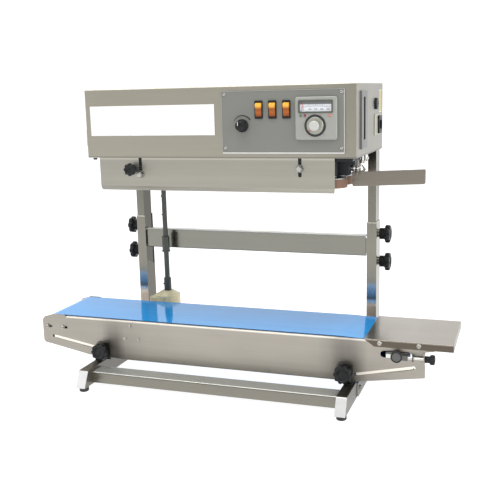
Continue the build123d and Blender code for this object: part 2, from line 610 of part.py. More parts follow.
# ---- head ---------------------------------------------------------------
casing = box(HEAD_X0, HEAD_X1, HEAD_Y0, HEAD_Y1, HEAD_Z0, HEAD_Z1)
casing = fillet(casing.edges().filter_by(Axis.Z), 2.5)
casing = fillet(casing.edges().group_by(Axis.Z)[-1], 2.0)
casing -= box(HEAD_X0 + SHEET, HEAD_X1 - SHEET, HEAD_Y0 + SHEET, HEAD_Y1 - SHEET, HEAD_Z0 - 1, HEAD_Z1 - SHEET)
casing -= box(5, 205, HEAD_Y0 - 1, HEAD_Y0 + 3, 450, 539)
casing -= box(HEAD_X1 - 3, HEAD_X1 + 1, *VENT_SLOT)
casing -= cyl_x(FUSE_Y, FUSE_Z, HEAD_X1 - 3, HEAD_X1 + 1, 6.2)
casing -= box(HEAD_X1 - 3, HEAD_X1 + 1, *INLET)
for i in range(8):
    casing -= box(-150 + 14 * i, -143 + 14 * i, HEAD_Y1 - 3, HEAD_Y1 + 1, 470, 520)
save("head_casing", casing)

floor = box(HEAD_X0 + SHEET, HEAD_X1 - SHEET, HEAD_Y0 + SHEET, HEAD_Y1 - SHEET, HEAD_Z0, HEAD_Z0 + 2)
floor -= cyl_z(DRIVE_X, SHAFT_Y, HEAD_Z0 - 1, HEAD_Z0 + 3, 6.0)
save("head_base_plate", floor)

panel = prism_xz([(PANEL[0], PANEL[2], 2), (PANEL[1], PANEL[2], 2), (PANEL[1], PANEL[3], 2),
                  (PANEL[0], PANEL[3], 2)], PANEL_Y, HEAD_Y0)
panel -= box(132.5, 200.1, PANEL_Y - 1, HEAD_Y0 + 1, 466, 533.6)
panel -= cyl_y(SPEED_X, SPEED_Z, PANEL_Y - 1, HEAD_Y0 + 1, 3.6)
for x in ROCKER_X:
    panel -= box(x - 6.4, x + 6.4, PANEL_Y - 1, HEAD_Y0 + 1, ROCKER_Z - 13.8, ROCKER_Z + 13.8)
for x in (0.2, 208.8):
    for z in (542.5, 449.7):
        panel += screw_y(x, z, PANEL_Y, 2.6, 1.2, 1.5, 1.0)
save("control_panel", panel)

plates = [box(-267.5, -19.5, HEAD_Y0 - 0.8, HEAD_Y0, 472.5, 526.5),
          box(HEAD_X1, HEAD_X1 + 0.4, 108, 131, 503, 544)]
save("label_plates", Compound(children=plates))

# the rocker housings and the speed potentiometer, all held by the panel
switches = []
for x in ROCKER_X:
    frame = prism_xz([(x - 7.25, ROCKER_Z - 15.5, 1.5), (x + 7.25, ROCKER_Z - 15.5, 1.5),
                      (x + 7.25, ROCKER_Z + 15.5, 1.5), (x - 7.25, ROCKER_Z + 15.5, 1.5)],
                     PANEL_Y - 2, PANEL_Y)
    frame += box(x - 6.3, x + 6.3, PANEL_Y, PANEL_Y + 21, ROCKER_Z - 13.7, ROCKER_Z + 13.7)
    frame -= box(x - 5.5, x + 5.5, PANEL_Y - 3, PANEL_Y + 13, ROCKER_Z - 12.4, ROCKER_Z + 12.4)
    frame -= cyl_x(PANEL_Y + 1.5, ROCKER_Z, x - 6.2, x + 6.2, 1.55)
    for dz in (-8, 0, 8):
        frame += box(x - 2.4, x + 2.4, PANEL_Y + 21, PANEL_Y + 28, ROCKER_Z + dz - 0.4, ROCKER_Z + dz + 0.4)
    switches.append(frame)
pot = cyl_y(SPEED_X, SPEED_Z, PANEL_Y + 1.5, PANEL_Y + 12, 8.5)
pot += cyl_y(SPEED_X, SPEED_Z, PANEL_Y, PANEL_Y + 1.5, 3.5)
pot += cyl_y(SPEED_X, SPEED_Z, PANEL_Y - 12, PANEL_Y, 3.0)
switches.append(pot)
save("switch_bodies", Compound(children=switches))

speed = cyl_y(SPEED_X, SPEED_Z, PANEL_Y - 17, PANEL_Y - 0.5, SPEED_R * 0.86)
speed += cyl_y(SPEED_X, SPEED_Z, PANEL_Y - 4.5, PANEL_Y - 0.5, SPEED_R)
speed = chamfer(speed.edges().filter_by(GeomType.CIRCLE).sort_by(Axis.Y)[0], 1.2)
speed -= box(SPEED_X - 0.6, SPEED_X + 0.6, PANEL_Y - 18, PANEL_Y - 16.2, SPEED_Z, SPEED_Z + 12)
speed -= cyl_y(SPEED_X, SPEED_Z, PANEL_Y - 12.4, PANEL_Y, 3.05)
save("speed_knob", speed)

for i, x in enumerate(ROCKER_X):
    pivot = PANEL_Y + 1.5
    body = cyl_x(pivot, ROCKER_Z, x - 5.2, x + 5.2, 12.0)
    front = [(pivot + 6, -13), (pivot + 6, 13), (-101.4, 13), (-101.4, 11.5), (-98.4, 0), (-96.9, -11.5),
             (-96.9, -13)]
    body &= prism_yz([(y, z + ROCKER_Z) for y, z in front], x - 6, x + 6)
    body += cyl_x(pivot, ROCKER_Z, x - 6.1, x + 6.1, 1.5)
    save("rocker_%d" % (i + 1), body)

ctrl = prism_xz([(CTRL[0], CTRL[2], 4), (CTRL[1], CTRL[2], 4), (CTRL[1], CTRL[3], 4), (CTRL[0], CTRL[3], 4)],
                CTRL_Y, PANEL_Y)
ctrl = chamfer(ctrl.edges().group_by(Axis.Y)[0], 1.0)
ctrl += box(133, 199.6, PANEL_Y, -40, 466.5, 533.1)
ctrl -= box(137.5, 193.7, CTRL_Y - 1, CTRL_Y + 2.5, 510.5, 528.3)
ctrl += cyl_y(DIAL_X, DIAL_Z, CTRL_Y - 5.5, CTRL_Y, 3.0)
save("temperature_controller", ctrl)

dial = cyl_y(DIAL_X, DIAL_Z, CTRL_Y - 3.0, CTRL_Y - 0.4, 14.4)
dial = chamfer(dial.edges().filter_by(GeomType.CIRCLE).sort_by(Axis.Y)[0], 0.8)
cap = cyl_y(DIAL_X, DIAL_Z, CTRL_Y - 10, CTRL_Y - 3.0, 8.0)
cap = fillet(cap.edges().filter_by(GeomType.CIRCLE).sort_by(Axis.Y)[0], 1.2)
dial += cap
dial -= cyl_y(DIAL_X, DIAL_Z, CTRL_Y - 6, CTRL_Y, 3.05)
save("temperature_dial", dial)

inlet = box(HEAD_X1, HEAD_X1 + 1.2, *INLET_PLATE)
inlet += box(HEAD_X1, HEAD_X1 + 5, *INLET)
inlet += box(HEAD_X1 - 22, HEAD_X1, INLET[0] + 0.2, INLET[1] - 0.2, INLET[2] + 0.2, INLET[3] - 0.2)
inlet_y, inlet_z = (INLET[0] + INLET[1]) / 2, (INLET[2] + INLET[3]) / 2
inlet -= prism_yz([(inlet_y - 12, inlet_z - 8.5, 0), (inlet_y + 12, inlet_z - 8.5, 0),
                   (inlet_y + 12, inlet_z + 5, 0), (inlet_y + 8.5, inlet_z + 8.5, 0),
                   (inlet_y - 8.5, inlet_z + 8.5, 0), (inlet_y - 12, inlet_z + 5, 0)], HEAD_X1 - 16, HEAD_X1 + 6)
for dy, dz in ((-7, -2), (0, 2), (7, -2)):
    y, z = inlet_y + dy, inlet_z + dz
    inlet += box(HEAD_X1 - 16.5, HEAD_X1 - 4, y - 1, y + 1, z - 2, z + 2)
save("mains_inlet", inlet)

fuse = cyl_x(FUSE_Y, FUSE_Z, HEAD_X1, HEAD_X1 + 5.2, FUSE_R)
fuse = chamfer(fuse.edges().filter_by(GeomType.CIRCLE).sort_by(Axis.X)[-1], 1.2)
fuse += cyl_x(FUSE_Y, FUSE_Z, HEAD_X1 - 24, HEAD_X1, 6.1)
fuse -= box(HEAD_X1 + 4.2, HEAD_X1 + 6, FUSE_Y - 6, FUSE_Y + 6, FUSE_Z - 0.7, FUSE_Z + 0.7)
save("fuse_holder", fuse)

y0, y1, z0, z1 = VENT
vent = prism_yz([(y0, z0, 2), (y1, z0, 2), (y1, z1, 2), (y0, z1, 2)], HEAD_X1, HEAD_X1 + VENT_T)
vent -= box(HEAD_X1 - 1, HEAD_X1 + VENT_T + 1, *VENT_SLOT)
save("vent_plate", vent)

motor = box(DRIVE_X - 32, DRIVE_X + 32, 42, 106, HEAD_Z0 + 2, 470)
motor += cyl_z(DRIVE_X, SHAFT_Y, 470, 540, 30)
motor += cyl_z(DRIVE_X, SHAFT_Y, 540, 546, 12)
motor -= cyl_z(DRIVE_X, SHAFT_Y, HEAD_Z0, 464, 5.05)
save("gear_motor", motor)

board = box(-120, 0, -20, 80, 444, 445.6)
for x, y in ((-115, -15), (-5, -15), (-115, 75), (-5, 75)):
    board += cyl_z(x, y, HEAD_Z0 + 2, 444, 3)
board += box(-110, -60, 20, 70, 445.6, 487)
board += box(-100, -70, 14, 76, 452, 480)
for x, y, w, d, h in ((-40, 50, 14, 14, 18), (-20, 50, 10, 18, 12), (-40, 10, 20, 12, 15), (-15, 5, 12, 12, 22)):
    board += box(x - w / 2, x + w / 2, y - d / 2, y + d / 2, 445.6, 445.6 + h)
save("circuit_board", board)


# ---- sealing unit under the head ----------------------------------------
frame = box(-245, 226, -84, 28, 426, HEAD_Z0)
for x in WHEEL_X:
    for y in (FRONT_WHEEL_Y, REAR_WHEEL_Y):
        frame += cyl_z(x, y, 400, 426, 13)
for y in (PRESS_FRONT_Y, PRESS_REAR_Y):
    frame += cyl_z(PRESS_X, y, 400, 426, 11)
frame += box(*INFEED_BLOCK, 400.4, 426)
frame += box(INFEED_BLOCK[1], 225, INFEED_BLOCK[2], INFEED_BLOCK[3], 418, 426)
frame += box(191, 213, -20, 12, 404, 426)
for x, z in COVER_NUTS:
    frame += box(x - 7, x + 7, -86.2, -74, min(z - 3, 404), 426)
    frame += box(x - 7, x + 7, -86.2, -84, 395.5, HEAD_Z0)
for x in WHEEL_X:
    for y in (FRONT_WHEEL_Y, REAR_WHEEL_Y):
        frame -= cyl_z(x, y, 399, 424.5, 4.05)
for y in (PRESS_FRONT_Y, PRESS_REAR_Y):
    frame -= cyl_z(PRESS_X, y, 399, 424.5, 4.05)
for x, z in COVER_NUTS:
    frame -= cyl_y(x, z, -87, -76, 2.5)
save("seal_frame", frame)


def band_wheel(x, y):
    """Flanged band wheel on a vertical shaft."""
    body = cyl_z(x, y, BAND_Z0 - 0.2, BAND_Z1 + 0.4, WHEEL_R)
    body -= cyl_z(x, y, BAND_Z0 - 1, BAND_Z0 + 3, WHEEL_R - 5) - cyl_z(x, y, BAND_Z0 - 2, BAND_Z0 + 4, 9)
    body += cyl_z(x, y, BAND_Z1 + 0.4, BAND_Z1 + 2.0, 27.0)
    body += cyl_z(x, y, BAND_Z1 + 2.0, 399.7, 8)
    return body + cyl_z(x, y, 399.7, 424, 4.0)


save("band_wheel_front_left", band_wheel(WHEEL_X[0], FRONT_WHEEL_Y))
save("band_wheel_front_right", band_wheel(WHEEL_X[1], FRONT_WHEEL_Y))
save("band_wheel_rear_left", band_wheel(WHEEL_X[0], REAR_WHEEL_Y))
save("band_wheel_rear_right", band_wheel(WHEEL_X[1], REAR_WHEEL_Y))


def press_wheel(y):
    """Knurled press wheel on a vertical shaft."""
    body = cyl_z(PRESS_X, y, BAND_Z0, BAND_Z1, PRESS_R)
    for i in range(36):
        turn = math.radians(10 * i)
        body -= cyl_z(PRESS_X + PRESS_R * math.cos(turn), y + PRESS_R * math.sin(turn), BAND_Z0 - 1,
                      BAND_Z1 + 1, 0.6)
    body += cyl_z(PRESS_X, y, BAND_Z1, 399.7, 7)
    return body + cyl_z(PRESS_X, y, 399.7, 424, 4.0)


save("press_wheel_front", press_wheel(PRESS_FRONT_Y))
save("press_wheel_rear", press_wheel(PRESS_REAR_Y))


def stadium(y, r, z0, z1):
    body = box(WHEEL_X[0], WHEEL_X[1], y - r, y + r, z0, z1)
    return body + cyl_z(WHEEL_X[0], y, z0, z1, r) + cyl_z(WHEEL_X[1], y, z0, z1, r)


bands = [stadium(y, BAND_OUT, BAND_Z0, BAND_Z1) - stadium(y, BAND_IN, BAND_Z0 - 1, BAND_Z1 + 1)
         for y in (FRONT_WHEEL_Y, REAR_WHEEL_Y)]
save("seal_bands", Compound(children=bands))

blocks = []
for side in (-1, 1):
    near = SEAM_Y + side * 1.1
    far = SEAM_Y + side * 14.0
    for x0, x1 in ((20, 120), (-100, 0)):
        block = box(x0, x1, near, far, BAND_Z0 + 1, BAND_Z1 - 1)
        for x in (x0 + 25, x1 - 25):
            block += cyl_z(x, (near + far) / 2, BAND_Z1 - 1, 426, 4)
        if x0 < 0:
            for i in range(9):
                block -= box(x0 + 8 + 10 * i, x0 + 12 + 10 * i, far - side * 5, far + side, BAND_Z0, BAND_Z1)
        blocks.append(block)
save("seal_blocks", Compound(children=blocks))

rails = []
for y0, y1 in ((-33.0, -31.5), (-24.5, -23.0)):
    rail = prism_xz([(214.5, 377.8, 3), (340.5, 383.3, 2), (340.5, 408.2, 2), (229, 403.4, 0), (214.5, 402.8, 0)],
                    y0, y1)
    out, back = (-1, y0 + 0.5) if y0 < -28 else (1, y1 - 0.5)
    for x in (218.0, 224.0):
        stand = cyl_z(x, back + out * 4.5, 402.0, 426, 2.0)
        stand += cyl_z(x, back + out * 4.5, 409, 412, 3.6)
        stand += hex_z(x, back + out * 4.5, 399.2, 402.0, 6.4)
        rail += stand
    rail += box(214.5, 228, min(back, back + out * 8.5), max(back, back + out * 8.5), 402.0, 403.4)
    rails.append(rail)
# clamp strip and the two plated screws hanging at the infeed end
for x, y, low in ((230.0, -20.6, 418), (230.0, 8.9, 418.6), (228.5, 24.0, 421)):
    hanger = cyl_z(x, y, low, HEAD_Z0, 2.4)
    hanger += hex_z(x, y, low, low + 4.5, 8)
    rails.append(hanger)
arm = prism_xz([(228.0, 403.35, 0), (235.5, 403.7, 0), (238.5, 408, 0), (232.5, 416, 0), (230.5, 416, 0),
                (234, 408.5, 0)], -33.0, -31.5)
rails[0] += arm
save("guide_rails", Compound(children=rails))

cover = prism_xz([(COVER_X0, 379, 0), (COVER_X1, 379, 0), (COVER_X1, 431.6, 0), (COVER_X0, 431.6, 0)],
                 COVER_Y, COVER_Y + SHEET)
lip = prism_yz([(COVER_Y, 380.5, 0), (COVER_Y, 379, 0), (COVER_Y - 3.0, 372.4, 0),
                (COVER_Y - 1.6, COVER_LIP_Z, 0), (COVER_Y + 1.5, 378.6, 0), (COVER_Y + 1.5, 380.5, 0)],
               COVER_X0, COVER_X1)
cover = (cover + lip) & prism_xz([(COVER_X0, COVER_LIP_Z - 0.4, COVER_CORNER_R), (COVER_X1, COVER_LIP_Z - 0.4, 0),
                                  (COVER_X1, 440, 0), (COVER_X0, 440, 0)], COVER_Y - 5, COVER_Y + 5)
for x, z, half in (COVER_NUTS[0] + (-11.6,), COVER_NUTS[1] + (-0.2,)):
    cover -= slot_y(x, z + half, x, 440, 6.4, COVER_Y - 1, COVER_Y + 3)
cover += cyl_y(PRESSURE_X, PRESSURE_Z, COVER_Y + SHEET, COVER_Y + 4.5, 6)
cover -= cyl_y(PRESSURE_X, PRESSURE_Z, COVER_Y - 1, COVER_Y + 5, 2.55)
save("front_cover", cover)

nuts = []
for x, z in COVER_NUTS:
    nut = cyl_y(x, z, COVER_Y - 1.5, COVER_Y - 0.4, 6.9)
    nut += hex_y(x, z, COVER_Y - 5.5, COVER_Y - 1.5, 9)
    nut += cyl_y(x, z, COVER_Y - 8.5, COVER_Y - 5.5, 4.0)
    nut += cyl_y(x, z, COVER_Y - 0.4, -76, 2.5)
    nuts.append(nut)
nuts.append(hex_y(COVER_NUTS[1][0], 413.4, COVER_Y - 0.5, -86.2, 5.5))
save("cover_nuts", Compound(children=nuts))

pressure = Pos(0, 0, PRESSURE_HUB) * star_knob(PRESSURE_R, 14.0, 8, 1.5, 0.5)
pressure += Pos(0, 0, PRESSURE_HUB / 2) * Cylinder(4.5, PRESSURE_HUB + 0.6)
pressure += Pos(0, 0, -1.5) * Cylinder(2.5, 6.0)
save("pressure_knob", Pos(PRESSURE_X, COVER_Y - 0.4, PRESSURE_Z) * Rot(90, 0, 0) * pressure)
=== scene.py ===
import math

import bmesh
import bpy
from mathutils import Euler, Matrix, Vector


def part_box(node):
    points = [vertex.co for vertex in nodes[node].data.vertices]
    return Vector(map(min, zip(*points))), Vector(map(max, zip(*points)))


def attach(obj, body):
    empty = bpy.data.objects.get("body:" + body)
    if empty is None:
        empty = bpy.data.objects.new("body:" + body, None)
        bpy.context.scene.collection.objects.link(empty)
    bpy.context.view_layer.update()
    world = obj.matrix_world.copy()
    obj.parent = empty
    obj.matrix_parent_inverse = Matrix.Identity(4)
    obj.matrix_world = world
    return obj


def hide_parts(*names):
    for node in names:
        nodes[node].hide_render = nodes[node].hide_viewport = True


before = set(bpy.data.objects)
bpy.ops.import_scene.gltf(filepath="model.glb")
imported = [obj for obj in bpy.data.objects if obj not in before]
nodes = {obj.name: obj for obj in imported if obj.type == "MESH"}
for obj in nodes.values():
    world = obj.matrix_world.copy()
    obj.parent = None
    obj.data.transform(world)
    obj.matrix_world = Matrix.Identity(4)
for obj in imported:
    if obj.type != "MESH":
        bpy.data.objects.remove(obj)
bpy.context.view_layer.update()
MM = 0.001
KNOB_REFLECTION_Z = 60            # height of the painted reflections of the clamp knobs in the side sheet, mm
FLANGE_MIDDLE = -24     # painted highlight, a bright line along the flange at the top of the side sheet, mm along X
FLANGE_HALF = 322


# ---------------------------------------------------------------- node material helpers
class Shader:
    """A procedural material: object coordinates in, one Principled surface out."""

    def __init__(self, name):
        self.mat = bpy.data.materials.new(name)
        self.mat.use_nodes = True
        self.tree = self.mat.node_tree
        self.tree.nodes.clear()
        self.out = self.new("ShaderNodeOutputMaterial")
        self.bsdf = self.new("ShaderNodeBsdfPrincipled")
        self.link(self.bsdf.outputs["BSDF"], self.out.inputs["Surface"])
        place = self.new("ShaderNodeTexCoord")
        self.coord = place.outputs["Object"]
        self.normal = place.outputs["Normal"]

    def new(self, kind, **props):
        node = self.tree.nodes.new(kind)
        for key, value in props.items():
            setattr(node, key, value)
        return node

    def link(self, a, b):
        self.tree.links.new(a, b)

    def put(self, **values):
        for key, value in values.items():
            self.bsdf.inputs[key.replace("_", " ")].default_value = value

    def scaled(self, scale):
        mapping = self.new("ShaderNodeMapping")
        mapping.inputs["Scale"].default_value = scale
        self.link(self.coord, mapping.inputs["Vector"])
        return mapping.outputs["Vector"]

    def noise(self, scale, detail=3.0, rough=0.55):
        node = self.new("ShaderNodeTexNoise")
        node.inputs["Scale"].default_value = 1.0
        node.inputs["Detail"].default_value = detail
        node.inputs["Roughness"].default_value = rough
        self.link(self.scaled(scale), node.inputs["Vector"])
        return node.outputs["Fac"]

    def span(self, value, low, high, a=0.3, b=0.7):
        node = self.new("ShaderNodeMapRange")
        node.inputs["From Min"].default_value = a
        node.inputs["From Max"].default_value = b
        node.inputs["To Min"].default_value = low
        node.inputs["To Max"].default_value = high
        self.link(value, node.inputs["Value"])
        return node.outputs["Result"]

    def mix(self, fac, a, b, blend="MIX"):
        node = self.new("ShaderNodeMix", data_type="RGBA", blend_type=blend)
        for socket, value in ((node.inputs[0], fac), (node.inputs[6], a), (node.inputs[7], b)):
            if isinstance(value, bpy.types.NodeSocket):
                self.link(value, socket)
            elif isinstance(value, (int, float)):
                socket.default_value = value
            else:
                socket.default_value = (*value, 1.0)
        return node.outputs[2]

    def axis(self, letter):
        node = self.new("ShaderNodeSeparateXYZ")
        self.link(self.coord, node.inputs["Vector"])
        return node.outputs[letter]

    def facing(self, letter, sign=0, low=0.55, high=0.9):
        """1 on faces that look along an axis of the part, 0 on the others. sign picks one way along it."""
        node = self.new("ShaderNodeSeparateXYZ")
        self.link(self.normal, node.inputs["Vector"])
        value = node.outputs[letter]
        value = self.math("MULTIPLY", value, sign) if sign else self.math("ABSOLUTE", value)
        return self.span(value, 0.0, 1.0, low, high)

    def patch(self, letter, centre, half, soft):
        """1 within half of a place along an axis, fading to 0 over soft."""
        away = self.math("ABSOLUTE", self.math("SUBTRACT", self.axis(letter), centre))
        return self.span(away, 1.0, 0.0, half, half + soft)

    def tone(self, fac, base, gain):
        """Multiplies the colour by a gain where the factor is 1."""
        gain = gain if isinstance(gain, tuple) else (gain,) * 3
        return self.mix(fac, base, self.mix(1.0, base, gain, "MULTIPLY"))

    def math(self, op, a, b=0.0):
        node = self.new("ShaderNodeMath", operation=op)
        for socket, value in ((node.inputs[0], a), (node.inputs[1], b)):
            if isinstance(value, bpy.types.NodeSocket):
                self.link(value, socket)
            else:
                socket.default_value = value
        return node.outputs[0]

    def relief(self, height, strength, distance=0.0005, edge=0.0006):
        bump = self.new("ShaderNodeBump")
        bump.inputs["Strength"].default_value = strength
        bump.inputs["Distance"].default_value = distance
        self.link(height, bump.inputs["Height"])
        if edge:
            bevel = self.new("ShaderNodeBevel", samples=4)
            bevel.inputs["Radius"].default_value = edge
            self.link(bevel.outputs["Normal"], bump.inputs["Normal"])
        self.link(bump.outputs["Normal"], self.bsdf.inputs["Normal"])

    def edge_wear(self, radius=0.0008):
        """Bright where a corner is worn: how far the rounded normal leaves the true one."""
        bevel = self.new("ShaderNodeBevel", samples=4)
        bevel.inputs["Radius"].default_value = radius
        geo = self.new("ShaderNodeNewGeometry")
        dot = self.new("ShaderNodeVectorMath", operation="DOT_PRODUCT")
        self.link(bevel.outputs["Normal"], dot.inputs[0])
        self.link(geo.outputs["Normal"], dot.inputs[1])
        return self.span(dot.outputs["Value"], 1.0, 0.0, 0.75, 0.99)


def toned(colour, gain, lift=0.0):
    """The colour times a gain, no brighter than white."""
    return tuple(min(1.0, c * gain + lift) for c in colour)


def brushed(name, colour, rough=0.34, along="X", aniso=0.6, tone=0.10, edge=0.0006, shade=(), streaks=0.5,
            soft_top=0.0):
    """Brushed sheet: fine grain along one axis, faint smears, brighter worn edges.

    shade lists (mask maker, gain) pairs of painted light and shade, lightening or darkening a face. streaks
    is the strength of the broad light streaks. soft_top dulls the faces that look up, which keep a film of
    dust."""
    s = Shader(name)
    fine = {"X": (14, 1500, 1500), "Y": (1500, 14, 1500), "Z": (1500, 1500, 14)}[along]
    broad = {"X": (1.2, 40, 120), "Y": (40, 1.2, 120), "Z": (90, 90, 1.2)}[along]
    grain = s.noise(fine, 4.0, 0.7)
    smear = s.noise((5.0, 7.0, 9.0), 3.0, 0.5)
    streak = s.noise(broad, 3.0, 0.5)
    dark = toned(colour, 1 - tone)
    light = toned(colour, 1 + tone)
    base = s.mix(s.span(grain, 0.0, 1.0), dark, light)
    base = s.mix(s.span(smear, 0.0, 0.35, 0.35, 0.75), base, dark)
    base = s.mix(s.math("MULTIPLY", s.span(streak, 0.0, 1.0), streaks), base, light)
    for mask, gain in shade:
        base = s.tone(mask(s), base, gain)
    base = s.mix(s.math("MULTIPLY", s.edge_wear(), 0.8), base, toned(colour, 1.6))
    s.link(base, s.bsdf.inputs["Base Color"])
    gloss = s.math("ADD", s.span(grain, -0.05, 0.06), s.span(smear, rough - 0.03, rough + 0.07))
    s.link(gloss, s.bsdf.inputs["Roughness"])
    s.put(Metallic=1.0, Anisotropic=aniso)
    if soft_top:
        s.link(s.math("SUBTRACT", 1.0, s.math("MULTIPLY", s.facing("Z", 1), soft_top)),
               s.bsdf.inputs["Metallic"])
    tangent = s.new("ShaderNodeTangent", direction_type="RADIAL",
                    axis={"X": "Z", "Y": "Z", "Z": "X"}[along])
    s.link(tangent.outputs["Tangent"], s.bsdf.inputs["Tangent"])
    s.relief(grain, 0.10, 0.0002, edge)
    return s.mat


def painted(name, colour, rough=0.4, tone=0.05, edge=0.0009):
    """Powder-coated sheet: fine peel, faint tone drift, edges slightly rubbed."""
    s = Shader(name)
    peel = s.noise((900, 900, 900), 2.0)
    drift = s.noise((6, 6, 9), 3.0)
    base = s.mix(s.span(drift, 0.0, 1.0), colour, toned(colour, 1 - tone))
    base = s.mix(s.math("MULTIPLY", s.span(peel, 0.0, 1.0), 0.3), base, toned(colour, 1.06))
    base = s.mix(s.math("MULTIPLY", s.edge_wear(), 0.5), base, toned(colour, 1.35))
    s.link(base, s.bsdf.inputs["Base Color"])
    s.link(s.span(drift, rough - 0.05, rough + 0.08), s.bsdf.inputs["Roughness"])
    s.relief(peel, 0.12, 0.0002, edge)
    return s.mat


def moulded(name, colour, rough=0.35, grain=700, strength=0.2, edge=0.0006, tone=0.25, coat=0.0, shine=0.5):
    """Moulded plastic or rubber with a fine texture and lighter scuffed edges.

    coat is a clear gloss over it, and shine the strength of its own reflections."""
    s = Shader(name)
    pits = s.noise((grain, grain, grain), 3.0, 0.6)
    cloud = s.noise((40, 40, 40), 3.0)
    base = s.mix(s.span(cloud, 0.0, 0.8), colour, toned(colour, 1 + tone, 0.004))
    base = s.mix(s.math("MULTIPLY", s.edge_wear(), 0.55), base, toned(colour, 1.9, 0.02))
    s.link(base, s.bsdf.inputs["Base Color"])
    s.link(s.span(pits, rough - 0.06, rough + 0.08), s.bsdf.inputs["Roughness"])
    s.put(Coat_Weight=coat, Specular_IOR_Level=shine)
    s.relief(pits, strength, 0.0002, edge)
    return s.mat


def cast(name, colour, rough=0.5, metallic=0.0, grain=260):
    """Sand-cast surface with coarse grain and darker hollows."""
    s = Shader(name)
    lumps = s.noise((grain, grain, grain), 4.0, 0.65)
    stain = s.noise((30, 30, 30), 3.0)
    base = s.mix(s.span(lumps, 0.0, 1.0), toned(colour, 0.55), colour)
    base = s.mix(s.span(stain, 0.0, 0.6), base, toned(colour, 0.8))
    base = s.mix(s.edge_wear(0.0012), base, toned(colour, 1.5))
    s.link(base, s.bsdf.inputs["Base Color"])
    s.link(s.span(lumps, rough - 0.1, rough + 0.15), s.bsdf.inputs["Roughness"])
    s.put(Metallic=metallic)
    s.relief(lumps, 0.35, 0.0005, 0.0012)
    return s.mat


def turned(name, colour, rough=0.22, metallic=1.0, rings=900):
    """Turned or drawn metal with fine tool marks along its length."""
    s = Shader(name)
    marks = s.noise((rings, rings, rings), 2.0, 0.4)
    cloud = s.noise((60, 60, 60), 3.0)
    s.link(s.mix(s.span(cloud, 0.0, 1.0), toned(colour, 0.82), colour), s.bsdf.inputs["Base Color"])
    s.link(s.span(marks, rough - 0.06, rough + 0.10), s.bsdf.inputs["Roughness"])
    s.put(Metallic=metallic)
    s.relief(marks, 0.08, 0.0002, 0.0005)
    return s.mat


def belting(name):
    """Glossy conveyor belting: fine weave under a smooth blue cover, faint tracking scuffs, painted shade on
    its edges.
    """
    s = Shader(name)
    weave = s.noise((1600, 1600, 600), 2.0)
    scuff = s.noise((3.0, 90, 90), 4.0, 0.6)
    cloud = s.noise((9, 14, 14), 3.0)
    base = s.mix(s.span(cloud, 0.0, 1.0), (0.004, 0.240, 0.620), (0.006, 0.280, 0.690))
    base = s.mix(s.span(scuff, 0.0, 0.25, 0.5, 0.8), base, (0.03, 0.38, 0.80))
    # painted shade on the side faces of the belt, standing for the gap below its edge
    base = s.tone(s.facing("Y"), base, 0.22)
    s.link(base, s.bsdf.inputs["Base Color"])
    s.link(s.math("ADD", s.span(weave, -0.01, 0.02), s.span(scuff, 0.06, 0.12)), s.bsdf.inputs["Roughness"])
    s.put(IOR=1.43, Specular_Tint=(0.85, 0.62, 0.35, 1.0))
    s.relief(weave, 0.04, 0.0002, 0.0004)
    return s.mat


def glowing_amber(name, low_z, high_z):
    """Amber rocker, faintly lit by its lamp: orange body darker towards the foot, with a painted yellow
    highlight on top.
    """
    s = Shader(name)
    up = s.span(s.axis("Z"), 0.0, 1.0, low_z, high_z)
    ribs = s.noise((500, 500, 500), 2.0)
    # the ramp paints a bright yellow highlight on the upper face and darkens towards the foot
    ramp = s.new("ShaderNodeValToRGB")
    points = ramp.color_ramp.elements
    points[0].color = (0.16, 0.035, 0.010, 1)
    points[1].color = (0.85, 0.42, 0.05, 1)
    for height, colour in ((0.30, (0.33, 0.085, 0.015, 1)), (0.55, (0.24, 0.055, 0.010, 1)),
                           (0.78, (0.95, 0.46, 0.06, 1))):
        points.new(height).color = colour
    s.link(up, ramp.inputs["Fac"])
    base = s.mix(s.span(ribs, 0.0, 0.2), ramp.outputs["Color"], (0.60, 0.20, 0.02))
    s.link(base, s.bsdf.inputs["Base Color"])
    s.link(ramp.outputs["Color"], s.bsdf.inputs["Emission Color"])
    s.put(Emission_Strength=0.15, Specular_IOR_Level=0.25)
    s.link(s.span(ribs, 0.22, 0.34), s.bsdf.inputs["Roughness"])
    s.relief(ribs, 0.08, 0.0002, 0.0005)
    return s.mat


# ---------------------------------------------------------------- masks for the metal's tone
def looks(letter, sign=0, low=0.55, high=0.9):
    """The faces that look along an axis."""
    return lambda s: s.facing(letter, sign, low, high)


def near(letter, centre, half, soft):
    """A band across an axis, in millimetres."""
    return lambda s: s.patch(letter, centre * MM, half * MM, soft * MM)


def both(first, second):
    """Where two masks meet."""
    return lambda s: s.math("MULTIPLY", first(s), second(s))


def front_patch(centre, half, soft):
    """A painted reflection at a place up a post's front face, which mirrors the belt."""
    return both(looks("Y", -1), near("Z", centre, half, soft))


def knob_smear(x, half, soft, rise):
    """A painted dark reflection of a clamp knob in the side sheet; rise sets how far up it reaches."""
    return both(near("X", x, half, soft), near("Z", KNOB_REFLECTION_Z, rise - 20, rise))


# ---------------------------------------------------------------- materials
bed_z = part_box("slider_bed")[0].z / MM
table_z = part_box("extension_table")[1].z / MM
post_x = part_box("outer_posts")[0].x / MM + 20      # inside the left post
post_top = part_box("outer_posts")[1].z / MM
head_low, head_high = [corner.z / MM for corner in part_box("head_casing")]
clamp_left, clamp_right = [sum(corner.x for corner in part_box("clamp_knob_" + side)) / 2 / MM
                           for side in ("left", "right")]
# painted shade: the right-hand faces of the left post look at the other post and not at the light
inner_side = both(looks("X", 1), near("X", post_x, 60, 10))
